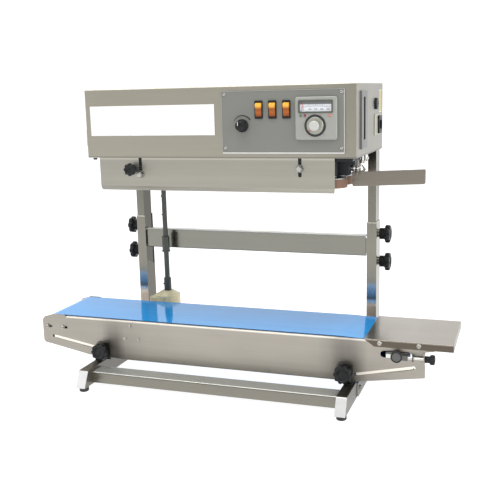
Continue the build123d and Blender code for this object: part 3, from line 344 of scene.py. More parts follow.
# painted highlight: the front light strikes the sloping end faces of the feet
slanted_end = both(looks("Y", 0, 0.6, 0.8), looks("Z", 1, 0.3, 0.4))
right_side = looks("X", 1)
top_side = looks("Z", 1)
M = {
    # painted highlight on the faces that look up
    "stainless": brushed("stainless", (0.215, 0.205, 0.177), 0.28, "X", soft_top=0.25, shade=(
        (top_side, (2.9, 3.1, 3.4)),)),
    # painted shade on the right-hand faces and on those towards the other post, painted reflections up the
    # front face, bluish and bright, and a painted highlight round the top edge
    "outer_post_steel": brushed("outer_post_steel", (0.217, 0.207, 0.177), 0.16, "Z", shade=(
        (right_side, 0.80), (inner_side, 0.62), (front_patch(160, 8, 8), (1.1, 1.5, 2.1)),
        (front_patch(112, 24, 6), (4.4, 4.3, 4.7)), (near("Z", post_top - 0.8, 1.0, 0.5), 2.2))),
    # painted shade on the right-hand faces and on those towards the other post
    "inner_post_steel": brushed("inner_post_steel", (0.201, 0.193, 0.165), 0.18, "Z", shade=(
        (right_side, 0.62), (inner_side, 0.60))),
    # painted dark reflections beside and above the clamp knobs, and a painted highlight along the bend at the
    # top
    "side_sheet": brushed("side_sheet", (0.362, 0.338, 0.300), 0.40, "X", aniso=0.75, soft_top=0.8, shade=(
        (near("X", clamp_left + 38, 14, 42), 0.86), (near("X", clamp_right - 4, 12, 34), 0.74),
        (knob_smear(clamp_left + 22, 8, 18, 40), 0.55), (knob_smear(clamp_right + 6, 12, 22, 44), 0.66),
        (both(near("X", FLANGE_MIDDLE, FLANGE_HALF, 2), near("Z", bed_z, 2.2, 0.8)), 2.3))),
    # painted shade on the turned-down lip
    "table_sheet": brushed("table_sheet", (0.315, 0.290, 0.255), 0.20, "X", shade=(
        (near("Z", table_z - 10, 7.4, 1.0), (0.34, 0.31, 0.28)),)),
    # painted shade on the sides and tops of the legs, a painted highlight on their sloping ends
    "leg_steel": brushed("leg_steel", (0.32, 0.30, 0.265), 0.30, "Y", shade=(
        (looks("X"), 0.62), (top_side, 0.62), (slanted_end, (3.1, 3.3, 3.7)))),
    # painted highlight along the top edge, just under the head
    "cover_sheet": brushed("cover_sheet", (0.385, 0.37, 0.325), 0.34, "X", aniso=0.6, shade=(
        (near("Z", head_low - 2.2, 1.2, 0.8), 1.35),)),
    "rail_sheet": brushed("rail_sheet", (0.237, 0.216, 0.183), 0.34, "X", aniso=0.6),
    # painted highlight on the top face
    "bar_sheet": brushed("bar_sheet", (0.216, 0.212, 0.186), 0.17, "X", tone=0.06, soft_top=0.9, shade=(
        (top_side, 3.6),)),
    "bracket_steel": brushed("bracket_steel", (0.13, 0.125, 0.11), 0.34, "X", aniso=0.4),
    "carriage_steel": brushed("carriage_steel", (0.12, 0.12, 0.115), 0.30, "X", aniso=0.3, shade=(
        (both(near("Y", -106, 3.4, 0.3), near("Z", 94, 3.4, 0.3)), 5.5),)),
    "foot_rubber": moulded("foot_rubber", (0.022, 0.022, 0.024), 0.62, 500, 0.4),
    "black_knob": moulded("black_knob", (0.009, 0.010, 0.011), 0.26, 420, 0.12, 0.0007, shine=0.25),
    "black_plastic": moulded("black_plastic", (0.012, 0.013, 0.014), 0.42, 900, 0.25, shine=0.25),
    "blue_belt": belting("blue_belt"),
    "roller_steel": turned("roller_steel", (0.55, 0.54, 0.52)),
    "cast_flange": cast("cast_flange", (0.16, 0.16, 0.165), 0.5, 0.5),
    "zinc_steel": turned("zinc_steel", (0.44, 0.43, 0.39), 0.26),
    "gearbox_cast": cast("gearbox_cast", (0.80, 0.74, 0.50), 0.42, 0.2),
    "shaft_steel": turned("shaft_steel", (0.078, 0.084, 0.076), 0.30, 0.85),
    # painted light on the head: a cooler tint on the right face, a lighter top and a highlight along the top
    # edge; it is also darker near X 225 and along the lower edge
    "head_paint": brushed(
        "head_paint", (0.395, 0.375, 0.315), 0.42, "X", aniso=0.5, tone=0.05, streaks=0.25, shade=(
            (right_side, (1.0, 1.03, 1.13)), (top_side, 1.3), (near("X", 225, 6, 60), 0.88),
            (near("Z", head_low + 1.0, 1.0, 0.8), 0.70), (near("Z", head_high, 1.4, 0.8), 1.35))),
    "vent_sheet": brushed("vent_sheet", (0.24, 0.245, 0.235), 0.40, "Z", aniso=0.4, tone=0.05),
    "panel_sheet": painted("panel_sheet", (0.194, 0.198, 0.179), 0.38),
    # painted highlights on folded edges, strong and faint
    "edge_highlight": painted("edge_highlight", (0.66, 0.66, 0.64), 0.35, 0.04, 0.0003),
    "edge_faint_highlight": painted("edge_faint_highlight", (0.36, 0.36, 0.34), 0.35, 0.04, 0.0003),
    "label_white": painted("label_white", (0.86, 0.86, 0.85), 0.35, 0.03),
    "sticker": painted("sticker", (0.42, 0.36, 0.14), 0.4, 0.10),
    "controller_plastic": moulded("controller_plastic", (0.312, 0.316, 0.292), 0.36, 800, 0.12, tone=0.05),
    "dial_silver": turned("dial_silver", (0.44, 0.44, 0.38), 0.30, 0.7, 2500),
    "cap_white": moulded("cap_white", (0.50, 0.50, 0.48), 0.30, 800, 0.1, tone=0.04, coat=0.3),
    "meter_card": painted("meter_card", (0.74, 0.76, 0.80), 0.5, 0.03, 0.0002),
    "meter_rim": moulded("meter_rim", (0.075, 0.08, 0.062), 0.40, 900, 0.1, 0.0002),
    "meter_shadow": painted("meter_shadow", (0.17, 0.175, 0.18), 0.5, 0.1, 0.0001),
    "print_black": painted("print_black", (0.03, 0.03, 0.03), 0.5, 0.2, 0.0001),
    "print_grey": painted("print_grey", (0.22, 0.22, 0.24), 0.5, 0.2, 0.0001),
    "needle_red": moulded("needle_red", (0.55, 0.05, 0.06), 0.35, 900, 0.1, 0.0002),
    "lamp_green": moulded("lamp_green", (0.10, 0.16, 0.07), 0.25, 500, 0.1, 0.0003, coat=0.4),
    "lamp_dark_red": moulded("lamp_dark_red", (0.22, 0.02, 0.05), 0.25, 500, 0.1, 0.0003, coat=0.4),
    "lamp_red": moulded("lamp_red", (0.50, 0.15, 0.12), 0.25, 500, 0.1, 0.0003, coat=0.4),
    "motor_aluminium": cast("motor_aluminium", (0.42, 0.42, 0.42), 0.45, 0.8),
    "board_green": moulded("board_green", (0.02, 0.16, 0.06), 0.40, 300, 0.3),
    "frame_aluminium": cast("frame_aluminium", (0.022, 0.026, 0.030), 0.42, 0.5),
    "wheel_aluminium": turned("wheel_aluminium", (0.45, 0.45, 0.45), 0.25),
    "ptfe_band": moulded("ptfe_band", (0.155, 0.080, 0.048), 0.36, 900, 0.35, 0.0003),
    "block_brass": turned("block_brass", (0.60, 0.44, 0.16), 0.32),
    "bright_nut": turned("bright_nut", (0.50, 0.49, 0.46), 0.12),
    "dark_nut": turned("dark_nut", (0.26, 0.26, 0.24), 0.22),
    "chrome": turned("chrome", (0.85, 0.85, 0.83), 0.08),
    "inlet_rim": painted("inlet_rim", (0.37, 0.355, 0.29), 0.4, 0.05, 0.0003),
    # near-white metal for the painted highlights in the slots
    "slot_highlight": brushed("slot_highlight", (0.92, 0.87, 0.78), 0.45, "X", tone=0.05),
}
rocker_lo, rocker_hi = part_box("rocker_1")
M["amber_plastic"] = glowing_amber("amber_plastic", rocker_lo.z, rocker_hi.z)

NODE_MATERIAL = {
    "leg_channels": "leg_steel", "rubber_feet": "foot_rubber", "cross_rails": "stainless",
    "outer_posts": "outer_post_steel", "post_base_brackets": "leg_steel", "clamp_brackets": "bracket_steel",
    "side_plate_front": "side_sheet", "side_plate_rear": "side_sheet", "slider_bed": "stainless",
    "conveyor_belt": "blue_belt", "tail_roller_left": "roller_steel", "tail_roller_right": "roller_steel",
    "pinch_roller": "roller_steel", "drive_roller": "roller_steel", "bearing_flanges": "cast_flange",
    "tie_rods": "zinc_steel", "conveyor_screws": "zinc_steel", "extension_table": "table_sheet",
    "takeup_carriage": "carriage_steel", "takeup_knob": "black_knob", "gearbox_housing": "gearbox_cast",
    "lower_drive_shaft": "shaft_steel", "upper_drive_shaft": "shaft_steel", "inner_posts": "inner_post_steel",
    "post_crossbar": "bar_sheet", "head_casing": "head_paint", "head_base_plate": "zinc_steel",
    "control_panel": "panel_sheet", "label_plates": "label_white", "switch_bodies": "black_plastic",
    "speed_knob": "black_knob", "rocker_1": "amber_plastic", "rocker_2": "amber_plastic",
    "rocker_3": "amber_plastic", "temperature_controller": "controller_plastic",
    "temperature_dial": "dial_silver", "mains_inlet": "black_plastic", "fuse_holder": "black_plastic",
    "vent_plate": "vent_sheet", "gear_motor": "motor_aluminium", "circuit_board": "board_green",
    "seal_frame": "frame_aluminium", "band_wheel_front_left": "wheel_aluminium",
    "band_wheel_front_right": "wheel_aluminium", "band_wheel_rear_left": "wheel_aluminium",
    "band_wheel_rear_right": "wheel_aluminium", "press_wheel_front": "roller_steel",
    "press_wheel_rear": "roller_steel", "seal_bands": "ptfe_band", "seal_blocks": "block_brass",
    "guide_rails": "rail_sheet", "front_cover": "cover_sheet", "cover_nuts": "bright_nut",
    "pressure_knob": "black_knob", "clamp_knob_left": "black_knob", "clamp_knob_right": "black_knob",
    "post_knob_left_upper": "black_knob", "post_knob_left_lower": "black_knob",
    "post_knob_right_upper": "black_knob", "post_knob_right_lower": "black_knob",
}
for node, key in NODE_MATERIAL.items():
    data = nodes[node].data
    if len(data.materials) == 0:
        data.materials.append(M[key])
    for index in range(len(data.materials)):
        data.materials[index] = M[key]


# ---------------------------------------------------------------- mesh helpers
def add_piece(name, bm, material, body, smooth=True):
    """Turns a bmesh into a piece that moves with a CAD body."""
    bmesh.ops.recalc_face_normals(bm, faces=bm.faces)
    mesh = bpy.data.meshes.new(name)
    bm.to_mesh(mesh)
    bm.free()
    for face in mesh.polygons:
        face.use_smooth = smooth
    mesh.materials.append(M[material])
    piece = bpy.data.objects.new(name, mesh)
    bpy.context.scene.collection.objects.link(piece)
    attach(piece, body)
    return piece


def axis_matrix(centre, axis):
    """Local +z along the axis, local +y as near world up as it goes."""
    z = Vector(axis).normalized()
    up = Vector((0, 0, 1)) if abs(z.z) < 0.9 else Vector((0, 1, 0))
    x = up.cross(z).normalized()
    y = z.cross(x)
    turn = Matrix((x, y, z)).transposed().to_4x4()
    return Matrix.Translation(Vector(centre)) @ turn


def rings_to_mesh(bm, rings, closed_ends=True):
    """Skins a list of vertex rings."""
    rows = [[bm.verts.new(p) for p in ring] for ring in rings]
    count = len(rows[0])
    for a, b in zip(rows, rows[1:]):
        for i in range(count):
            j = (i + 1) % count
            bm.faces.new((a[i], a[j], b[j], b[i]))
    if closed_ends:
        bm.faces.new(list(reversed(rows[0])))
        bm.faces.new(rows[-1])


def lathe(bm, profile, matrix, steps=48):
    """Turns (radius, height) points about the local z axis."""
    rings = []
    for r, h in profile:
        rings.append([matrix @ Vector((r * math.cos(t), r * math.sin(t), h))
                      for t in (2 * math.pi * i / steps for i in range(steps))])
    rings_to_mesh(bm, rings)


def slab(bm, outline, matrix, low, high):
    """Prism from a local outline between two local heights."""
    rings_to_mesh(bm, [[matrix @ Vector((x, y, h)) for x, y in outline] for h in (low, high)])


def round_rect(w, h, r, steps=5):
    """Rounded rectangle outline about the origin."""
    points = []
    for cx, cy, start in ((w / 2 - r, h / 2 - r, 0), (-w / 2 + r, h / 2 - r, 90),
                          (-w / 2 + r, -h / 2 + r, 180), (w / 2 - r, -h / 2 + r, 270)):
        for i in range(steps + 1):
            turn = math.radians(start + 90 * i / steps)
            points.append((cx + r * math.cos(turn), cy + r * math.sin(turn)))
    return points


def arc_band(r0, r1, start, end, steps=24, taper=1.0):
    """Flat ring segment outline; taper scales its width at the start."""
    outer, inner = [], []
    middle, half = (r0 + r1) / 2, (r1 - r0) / 2
    for i in range(steps + 1):
        k = i / steps
        turn = math.radians(start + (end - start) * k)
        width = half * (taper + (1 - taper) * k)
        outer.append(((middle + width) * math.cos(turn), (middle + width) * math.sin(turn)))
        inner.append(((middle - width) * math.cos(turn), (middle - width) * math.sin(turn)))
    return outer + inner[::-1]


def mm(*points):
    """Points given in millimetres, in metres."""
    return [tuple(value * MM for value in point) for point in points]


def hexagon(radius, first=0):
    """Hexagon outline about the origin; first is the angle of its first corner."""
    turns = [math.radians(60 * i + first) for i in range(6)]
    return [(radius * math.cos(t), radius * math.sin(t)) for t in turns]


def dome(radius, height, base=0.0):
    """Lathe profile of a dome on a base height, with a small flat at its crown."""
    turns = [math.radians(angle) for angle in range(0, 88, 8)]
    return [(radius * math.cos(t), base + height * math.sin(t)) for t in turns]


def facing_front(x, y, z):
    """Local x to the right, local y up, local z towards the operator."""
    turn = Matrix(((1, 0, 0), (0, 0, -1), (0, 1, 0))).to_4x4()
    return Matrix.Translation(Vector((x, y, z))) @ turn


def facing_right(x, y, z):
    """Local x towards the back, local y up, local z to the right of the machine."""
    turn = Matrix(((0, 0, 1), (1, 0, 0), (0, 1, 0))).to_4x4()
    return Matrix.Translation(Vector((x, y, z))) @ turn


def standing(x, y, z=0.0):
    """A place given in millimetres, with the machine's own axes."""
    return Matrix.Translation(Vector((x, y, z)) * MM)


def plate(name, outline, matrix, thickness, material, body):
    """A flat piece standing on a face."""
    bm = bmesh.new()
    slab(bm, outline, matrix, 0.0, thickness)
    return add_piece(name, bm, material, body, smooth=False)


# ---------------------------------------------------------------- star knobs
HUB_SHARE = 0.30        # stages below this share of a knob lie on its hub
LOBE_STEPS = 14         # points round each lobe


def star_knob(name, node, body, face, axis, radius, height, lobes, hub, hub_size=0.50):
    """Moulded star grip: round hub, fluted grip, dished cap with a raised ring. Stands for the CAD knob.

    Each stage is a share of the radius, a share of the height, and how deep the flutes are there."""
    matrix = axis_matrix(face, axis)
    steps = lobes * LOBE_STEPS
    depth = 1.5 / lobes
    stages = [(hub_size - 0.05, 0.0, 0.0), (hub_size, 0.02, 0.0), (hub_size, 0.27, 0.0),
              (hub_size + 0.06, HUB_SHARE, 0.2), (0.84, 0.36, 0.8), (0.91, 0.42, 1.0), (0.93, 0.60, 1.0),
              (0.92, 0.80, 1.0), (0.89, 0.90, 1.0), (0.83, 0.96, 0.85), (0.76, 0.985, 0.4), (0.70, 1.0, 0.0),
              (0.64, 0.99, 0.0), (0.60, 0.955, 0.0), (0.54, 0.90, 0.0), (0.42, 0.865, 0.0), (0.30, 0.86, 0.0),
              (0.16, 0.875, 0.0), (0.03, 0.88, 0.0)]
    rings = []
    for size, level, flute in stages:
        ring = []
        if level < HUB_SHARE:
            along = hub * level / HUB_SHARE
        else:
            along = hub + (height - hub) * (level - HUB_SHARE) / (1 - HUB_SHARE)
        for i in range(steps):
            turn = 2 * math.pi * i / steps
            wave = 0.5 + 0.5 * math.cos(lobes * turn)
            r = radius * size * (1 + flute * (0.07 - depth * (1 - wave) ** 2))
            ring.append(matrix @ Vector((r * math.cos(turn), r * math.sin(turn), along)))
        rings.append(ring)
    bm = bmesh.new()
    rings_to_mesh(bm, rings)
    piece = add_piece(name, bm, "black_knob", body)
    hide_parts(node)
    return piece


# the CAD nodes of these two kinds also hold a thin stud, so a grip is measured from the outer end
POST_GRIP = 21 * MM
PRESSURE_GRIP = 20 * MM
for side, sign in (("left", -1), ("right", 1)):
    for level in ("upper", "lower"):
        node = "post_knob_%s_%s" % (side, level)
        lo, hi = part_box(node)
        middle = (lo + hi) / 2
        start = hi.x - POST_GRIP if sign > 0 else lo.x + POST_GRIP
        star_knob(node + "_grip", node, node, (start, middle.y, middle.z), (sign, 0, 0), 18 * MM, POST_GRIP,
                  7, 10 * MM, 0.62)
    node = "clamp_knob_" + side
    lo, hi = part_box(node)
    star_knob(node + "_grip", node, node, ((lo.x + hi.x) / 2, hi.y, (lo.z + hi.z) / 2), (0, -1, 0),
              17.3 * MM, hi.y - lo.y, 10, 6.3 * MM)
lo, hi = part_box("pressure_knob")
star_knob("pressure_knob_grip", "pressure_knob", "pressure_knob",
          ((lo.x + hi.x) / 2, lo.y + PRESSURE_GRIP, (lo.z + hi.z) / 2), (0, -1, 0),
          12 * MM, PRESSURE_GRIP, 8, 10 * MM)
lo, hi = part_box("takeup_knob")
star_knob("takeup_knob_grip", "takeup_knob", "takeup_knob", (lo.x, (lo.y + hi.y) / 2, (lo.z + hi.z) / 2),
          (1, 0, 0), 8.9 * MM, hi.x - lo.x, 12, 8 * MM, 0.66)


# ---------------------------------------------------------------- control panel details
panel_lo, panel_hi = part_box("control_panel")
panel_y = panel_hi.y - 1.5 * MM         # front of the panel sheet
ctrl_lo, ctrl_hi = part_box("temperature_controller")
ctrl_y = ctrl_lo.y + 5.5 * MM           # face of the controller
speed_lo, speed_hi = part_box("speed_knob")
speed_c = (speed_lo + speed_hi) / 2
dial_lo, dial_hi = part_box("temperature_dial")
dial_c = (dial_lo + dial_hi) / 2
PRINT = 0.15 * MM                       # how far a printed mark stands out


def printed(name, outlines, x, y, z, material, body="head", depth=PRINT):
    """Thin printed or moulded marks standing on a front face."""
    bm = bmesh.new()
    matrix = facing_front(x, y, z)
    for outline in outlines:
        slab(bm, outline, matrix, 0.0, depth)
    return add_piece(name, bm, material, body, smooth=False)


def number(name, text, x, y, z, size):
    """A small printed number, made into a mesh."""
    curve = bpy.data.curves.new(name, "FONT")
    curve.body = text
    curve.size = size
    curve.align_x = "CENTER"
    curve.align_y = "CENTER"
    curve.extrude = PRINT / 2
    holder = bpy.data.objects.new(name + "_curve", curve)
    bpy.context.scene.collection.objects.link(holder)
    bpy.context.view_layer.update()
    mesh = bpy.data.meshes.new_from_object(holder)
    bpy.data.objects.remove(holder)
    mesh.name = name
    mesh.transform(facing_front(x, y, z))
    mesh.materials.clear()
    mesh.materials.append(M["print_grey"])
    piece = bpy.data.objects.new(name, mesh)
    bpy.context.scene.collection.objects.link(piece)
    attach(piece, "head")


# folded edges of the panel as painted highlights: strong on the lower and right ones, faint on the others
mid_x, mid_z = (panel_lo.x + panel_hi.x) / 2, (panel_lo.z + panel_hi.z) / 2
wide, tall = panel_hi.x - panel_lo.x - 2 * MM, panel_hi.z - panel_lo.z - 2 * MM
for side, x, z, w, h, material in (
        ("lower", mid_x, panel_lo.z + 1.2 * MM, wide, 2.0 * MM, "edge_highlight"),
        ("upper", mid_x, panel_hi.z - 0.9 * MM, wide, 0.8 * MM, "edge_faint_highlight"),
        ("left", panel_lo.x + 0.9 * MM, mid_z, 0.8 * MM, tall, "edge_faint_highlight"),
        ("right", panel_hi.x - 0.9 * MM, mid_z, 0.8 * MM, tall, "edge_highlight")):
    plate("panel_edge_" + side, round_rect(w, h, 0.35 * MM), facing_front(x, panel_y, z), 0.5 * MM, material,
          "head")

# bright domes on the screws at the panel corners
screw_places = [(x, z) for z in (panel_hi.z - 6.0 * MM, panel_lo.z + 9.7 * MM)
                for x in (panel_lo.x + 5.9 * MM, panel_hi.x - 6.0 * MM)]
for i, (x, z) in enumerate(screw_places):
    bm = bmesh.new()
    lathe(bm, dome(2.9 * MM, 1.7 * MM), facing_front(x, panel_y, z), 28)
    add_piece("panel_screw_%d" % i, bm, "bright_nut", "head")

# tapered speed mark round the knob
printed("speed_mark", [arc_band(16.0 * MM, 18.8 * MM, 152, 34, 48, 0.35)], speed_c.x, panel_y, speed_c.z,
        "print_black")

# speed knob: skirt, ribbed grip and flat top, as shares of the radius at heights in millimetres
SPEED_RADIUS = 11.2 * MM
RIBS = 24
matrix = facing_front(speed_c.x, speed_hi.y, speed_c.z)
rings = []
for size, level in ((1.0, 0.0), (1.0, 3.2), (0.80, 4.2), (0.78, 14.0), (0.70, 15.6), (0.30, 15.9)):
    depth = 0.030 if 4 < level < 15 else 0.0
    ring = []
    for i in range(6 * RIBS):
        turn = 2 * math.pi * i / (6 * RIBS)
        r = SPEED_RADIUS * size * (1 - depth * (0.5 + 0.5 * math.cos(RIBS * turn)))
        ring.append(matrix @ Vector((r * math.cos(turn), r * math.sin(turn), level * MM)))
    rings.append(ring)
bm = bmesh.new()
rings_to_mesh(bm, rings)
piece = add_piece("speed_knob_grip", bm, "black_knob", "speed_knob")
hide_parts("speed_knob")
printed("speed_knob_line", [round_rect(1.0 * MM, 6.5 * MM, 0.3 * MM)], speed_c.x - 3.2 * MM,
        speed_hi.y - 15.7 * MM, speed_c.z + 3.8 * MM, "label_white", "speed_knob", 0.3 * MM)

# meter of the controller: frame, shade, card, ticks, arc, needle and numbers
meter_x = (ctrl_lo.x + ctrl_hi.x) / 2 - 0.7 * MM
meter_z = ctrl_hi.z - 16.4 * MM
meter_w, meter_h = 60.2 * MM, 21.8 * MM
bm = bmesh.new()
matrix = facing_front(meter_x, ctrl_y, meter_z)
outer = round_rect(meter_w, meter_h, 1.8 * MM)
inner = round_rect(meter_w - 5.0 * MM, meter_h - 5.0 * MM, 1.0 * MM)
rings = [[matrix @ Vector((x, y, level * MM)) for x, y in outline]
         for outline, level in ((outer, 0.0), (outer, 1.0), (inner, 0.8), (inner, -1.6))]
rings_to_mesh(bm, rings, closed_ends=False)
add_piece("meter_frame", bm, "meter_rim", "head", smooth=False)
printed("meter_shade", [round_rect(meter_w - 5.4 * MM, 4.6 * MM, 0.3 * MM)], meter_x, ctrl_y + 1.8 * MM,
        meter_z + meter_h / 2 - 4.9 * MM, "meter_shadow", depth=0.2 * MM)
printed("meter_card", [round_rect(meter_w - 5.2 * MM, meter_h - 5.2 * MM, 0.8 * MM)], meter_x,
        ctrl_y + 2.2 * MM, meter_z, "meter_card", depth=0.4 * MM)
card_y = ctrl_y + 1.8 * MM
SCALE_HALF = 24         # half the length of the scale, mm


def scale_bow(x):
    """Height of the curved scale at x, both in millimetres."""
    return 2.2 * (1 - (x / SCALE_HALF) ** 2)


ticks = []
for i, x in enumerate(range(-SCALE_HALF, SCALE_HALF + 1, 3)):
    tall = 3.6 if i % 4 == 0 else 2.2
    tick = round_rect(0.42 * MM, tall * MM, 0.1 * MM, 2)
    ticks.append([(x * MM + px, (scale_bow(x) + 0.2) * MM + py) for px, py in tick])
printed("meter_ticks", ticks, meter_x, card_y, meter_z, "print_grey")
along = list(range(-SCALE_HALF, SCALE_HALF + 1))
arc = [(x, scale_bow(x) - 1.35) for x in along] + [(x, scale_bow(x) - 1.85) for x in reversed(along)]
printed("meter_arc", [mm(*arc)], meter_x, card_y, meter_z, "print_grey")
printed("meter_needle", [mm((-25.0, -7.5), (-24.2, -7.5), (-21.6, 5.6), (-22.4, 5.6))], meter_x,
        card_y - 0.5 * MM, meter_z, "needle_red")
for i, text in enumerate(("0", "100", "200", "300", "400")):
    number("meter_number_%d" % i, text, meter_x + (-21 + 10.5 * i) * MM, card_y - PRINT / 2,
           meter_z - 4.6 * MM, 4.2 * MM)

# three small lamps below the meter
for name, across in (("lamp_green", 9.6), ("lamp_dark_red", 17.1), ("lamp_red", 59.6)):
    bm = bmesh.new()
    lathe(bm, mm((2.3, 0.0), (2.3, 0.6), (1.9, 0.9), (1.8, 1.5), (1.2, 2.1), (0.3, 2.4)),
          facing_front(ctrl_lo.x + across * MM, ctrl_y, ctrl_hi.z - 31.2 * MM), 24)
    add_piece(name, bm, name, "head")

# dial: numbers, a black ring in nine parts, the white cap and the red pointer
NUMBER_RADIUS = 21.2 * MM
for i in range(11):
    turn = math.radians(225 - 27 * i)
    number("dial_number_%d" % i, str(i), dial_c.x + NUMBER_RADIUS * math.cos(turn), ctrl_y - PRINT / 2,
           dial_c.z + NUMBER_RADIUS * math.sin(turn), 3.0 * MM)
ring = [arc_band(15.0 * MM, 18.6 * MM, start, start + 39, 12) for start in range(4, 364, 40)]
printed("dial_ring", ring, dial_c.x, ctrl_y, dial_c.z, "print_black", depth=0.5 * MM)
bm = bmesh.new()
lathe(bm, mm((8.5, 0.0), (8.5, 6.2), (8.1, 7.1), (7.2, 7.6), (3.0, 7.3), (0.3, 7.2)),
      facing_front(dial_c.x, ctrl_y - 3.1 * MM, dial_c.z), 56)
add_piece("dial_cap", bm, "cap_white", "temperature_dial")
pointer = Matrix.Rotation(math.radians(135), 2)
outline = [tuple(pointer @ Vector(point)) for point in mm((-1.0, 8.4), (1.0, 8.4), (0.7, 13.8), (-0.7, 13.8))]
printed("dial_pointer", [outline], dial_c.x, ctrl_y - 3.0 * MM, dial_c.z, "needle_red", "temperature_dial",
        0.4 * MM)


# ---------------------------------------------------------------- right and left faces of the head
# cream cover of the mains inlet plate, open round the black socket, which isn't at its middle
lo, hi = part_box("mains_inlet")
outer = round_rect(hi.y - lo.y + 1 * MM, hi.z - lo.z + 1 * MM, 2 * MM)
socket = [(x + 12.5 * MM, y - 0.5 * MM) for x, y in round_rect(30 * MM, 33.5 * MM, 1.5 * MM)]
matrix = facing_right(lo.x + 23.2 * MM, (lo.y + hi.y) / 2, (lo.z + hi.z) / 2)
rings = [[matrix @ Vector((x, y, level * MM)) for x, y in outline]
         for outline, level in ((outer, -1.1), (outer, 0.3), (socket, 0.4), (socket, 0.1))]
bm = bmesh.new()
rings_to_mesh(bm, rings, closed_ends=False)
add_piece("inlet_rim", bm, "inlet_rim", "head", smooth=False)

# blank yellow sticker on the right face, over the CAD label
lo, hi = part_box("label_plates")
plate("side_sticker", round_rect(22 * MM, 39 * MM, 1.0 * MM),
      facing_right(hi.x, hi.y - 11.5 * MM, hi.z - 20.5 * MM), 0.12 * MM, "sticker", "head")

# blank yellow sticker on the left face, its front edge lifted a little
lo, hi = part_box("head_casing")
lifted = Matrix.Rotation(math.radians(1.2), 4, "Y")
plate("left_sticker", round_rect(36 * MM, 31 * MM, 1.0 * MM),
      axis_matrix((lo.x, lo.y + 19 * MM, lo.z + 36.5 * MM), (-1, 0, 0)) @ lifted, 0.5 * MM, "sticker",
      "head")

# painted shade: a dark strip for the return of the raised plate on the right face
lo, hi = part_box("vent_plate")
plate("vent_plate_edge", round_rect(3.0 * MM, hi.z - lo.z - 2 * MM, 0.5 * MM),
      facing_right(hi.x, lo.y + 2.6 * MM, (lo.z + hi.z) / 2), 0.12 * MM, "meter_shadow", "head")


# ---------------------------------------------------------------- bright nuts, painted highlights, plug and cap
NUT_SEAT = -88.4 * MM   # backs of the two washers


def acorn(name, x, z):
    """Domed nut on its washer: dark rolled rim, bright hexagon and dome."""
    matrix = facing_front(x * MM, NUT_SEAT, z * MM)
    rim = bmesh.new()
    lathe(rim, mm((7.05, 0.0), (7.05, 0.8), (6.7, 1.15), (0.5, 1.15)), matrix, 40)
    add_piece(name + "_washer", rim, "dark_nut", "head", smooth=False)
    nut = bmesh.new()
    slab(nut, hexagon(5.3 * MM), matrix, 1.1 * MM, 5.15 * MM)
    lathe(nut, dome(4.1 * MM, 3.1 * MM, 5.1 * MM), matrix, 32)
    add_piece(name, nut, "bright_nut", "head", smooth=False)


acorn("acorn_right", 134.0, 413.6)
acorn("acorn_left", -172.0, 401.2)

# painted highlight on the bend along the top of the crossbar
lo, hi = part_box("post_crossbar")
plate("crossbar_bend_highlight", round_rect(hi.x - lo.x - 1 * MM, 1.5 * MM, 0.4 * MM),
      facing_front((lo.x + hi.x) / 2, lo.y + 0.05 * MM, hi.z - 0.6 * MM), 0.25 * MM, "edge_highlight", "head")

# painted highlight: near-white strips for the bright edges of the inner strips that show through the two
# sloping slots: ends in X and Z, mm
STRIP_Y = -98.75 * MM
for side, x0, z0, x1, z1 in (("left", -376.8, 76.9, -284.0, 61.1), ("right", 235.0, 54.2, 334.2, 74.9)):
    run, rise = (x1 - x0) * MM, (z1 - z0) * MM
    slope = Matrix.Rotation(math.atan2(rise, run), 4, "Z")
    plate("slot_strip_" + side, round_rect(math.hypot(run, rise), 5.2 * MM, 2.4 * MM),
          facing_front((x0 + x1) / 2 * MM, STRIP_Y, (z0 + z1) / 2 * MM) @ slope, 0.3 * MM, "slot_highlight",
          "conveyor")

# black plug under the left end of the head
bm = bmesh.new()
lathe(bm, mm((2.6, -2.4), (3.6, -1.8), (4.0, -0.6), (4.0, 0.6)), standing(-268, -84, 430), 24)
add_piece("base_plug", bm, "black_plastic", "head")

# black cap on the take-up screw, dished inside a raised ring
bm = bmesh.new()
lathe(bm, mm((10.2, 0.0), (10.2, 5.4), (9.8, 6.6), (8.8, 7.4), (7.8, 7.2), (7.2, 6.2), (6.0, 5.0), (4.0, 4.4),
             (0.3, 4.2)), facing_front(307 * MM, -104.3 * MM, 95 * MM), 48)
add_piece("takeup_cap", bm, "black_knob", "takeup_carriage")


# ---------------------------------------------------------------- screws and springs at the infeed end
SPRING_STANDS = [(x, y) for x in (218.0, 224.0) for y in (-37.0, -19.0)]            # x and y, mm
HANGING_SCREWS = ((230.0, -20.6, 418.0), (230.0, 8.9, 418.6), (228.5, 24.0, 421.0))  # with the head's foot
HEAD_UNDERSIDE = 431.8


def coil(bm, matrix, radius, wire, low, high, turns, sides=8):
    """Compression spring about the local z axis."""
    count = int(turns * 18)
    rings = []
    for i in range(count + 1):
        k = i / count
        turn = 2 * math.pi * turns * k
        out = Vector((math.cos(turn), math.sin(turn), 0))
        centre = out * radius + Vector((0, 0, low + (high - low) * k))
        ring = []
        for j in range(sides):
            a = 2 * math.pi * j / sides
            ring.append(matrix @ (centre + out * (wire * math.cos(a)) + Vector((0, 0, wire * math.sin(a)))))
        rings.append(ring)
    rings_to_mesh(bm, rings)


bm = bmesh.new()
for x, y in SPRING_STANDS:
    coil(bm, standing(x, y), 3.0 * MM, 0.7 * MM, 413.0 * MM, 425.0 * MM, 5)
    coil(bm, standing(x, y), 3.0 * MM, 0.7 * MM, 404.4 * MM, 408.2 * MM, 2)
add_piece("infeed_springs", bm, "bright_nut", "head")

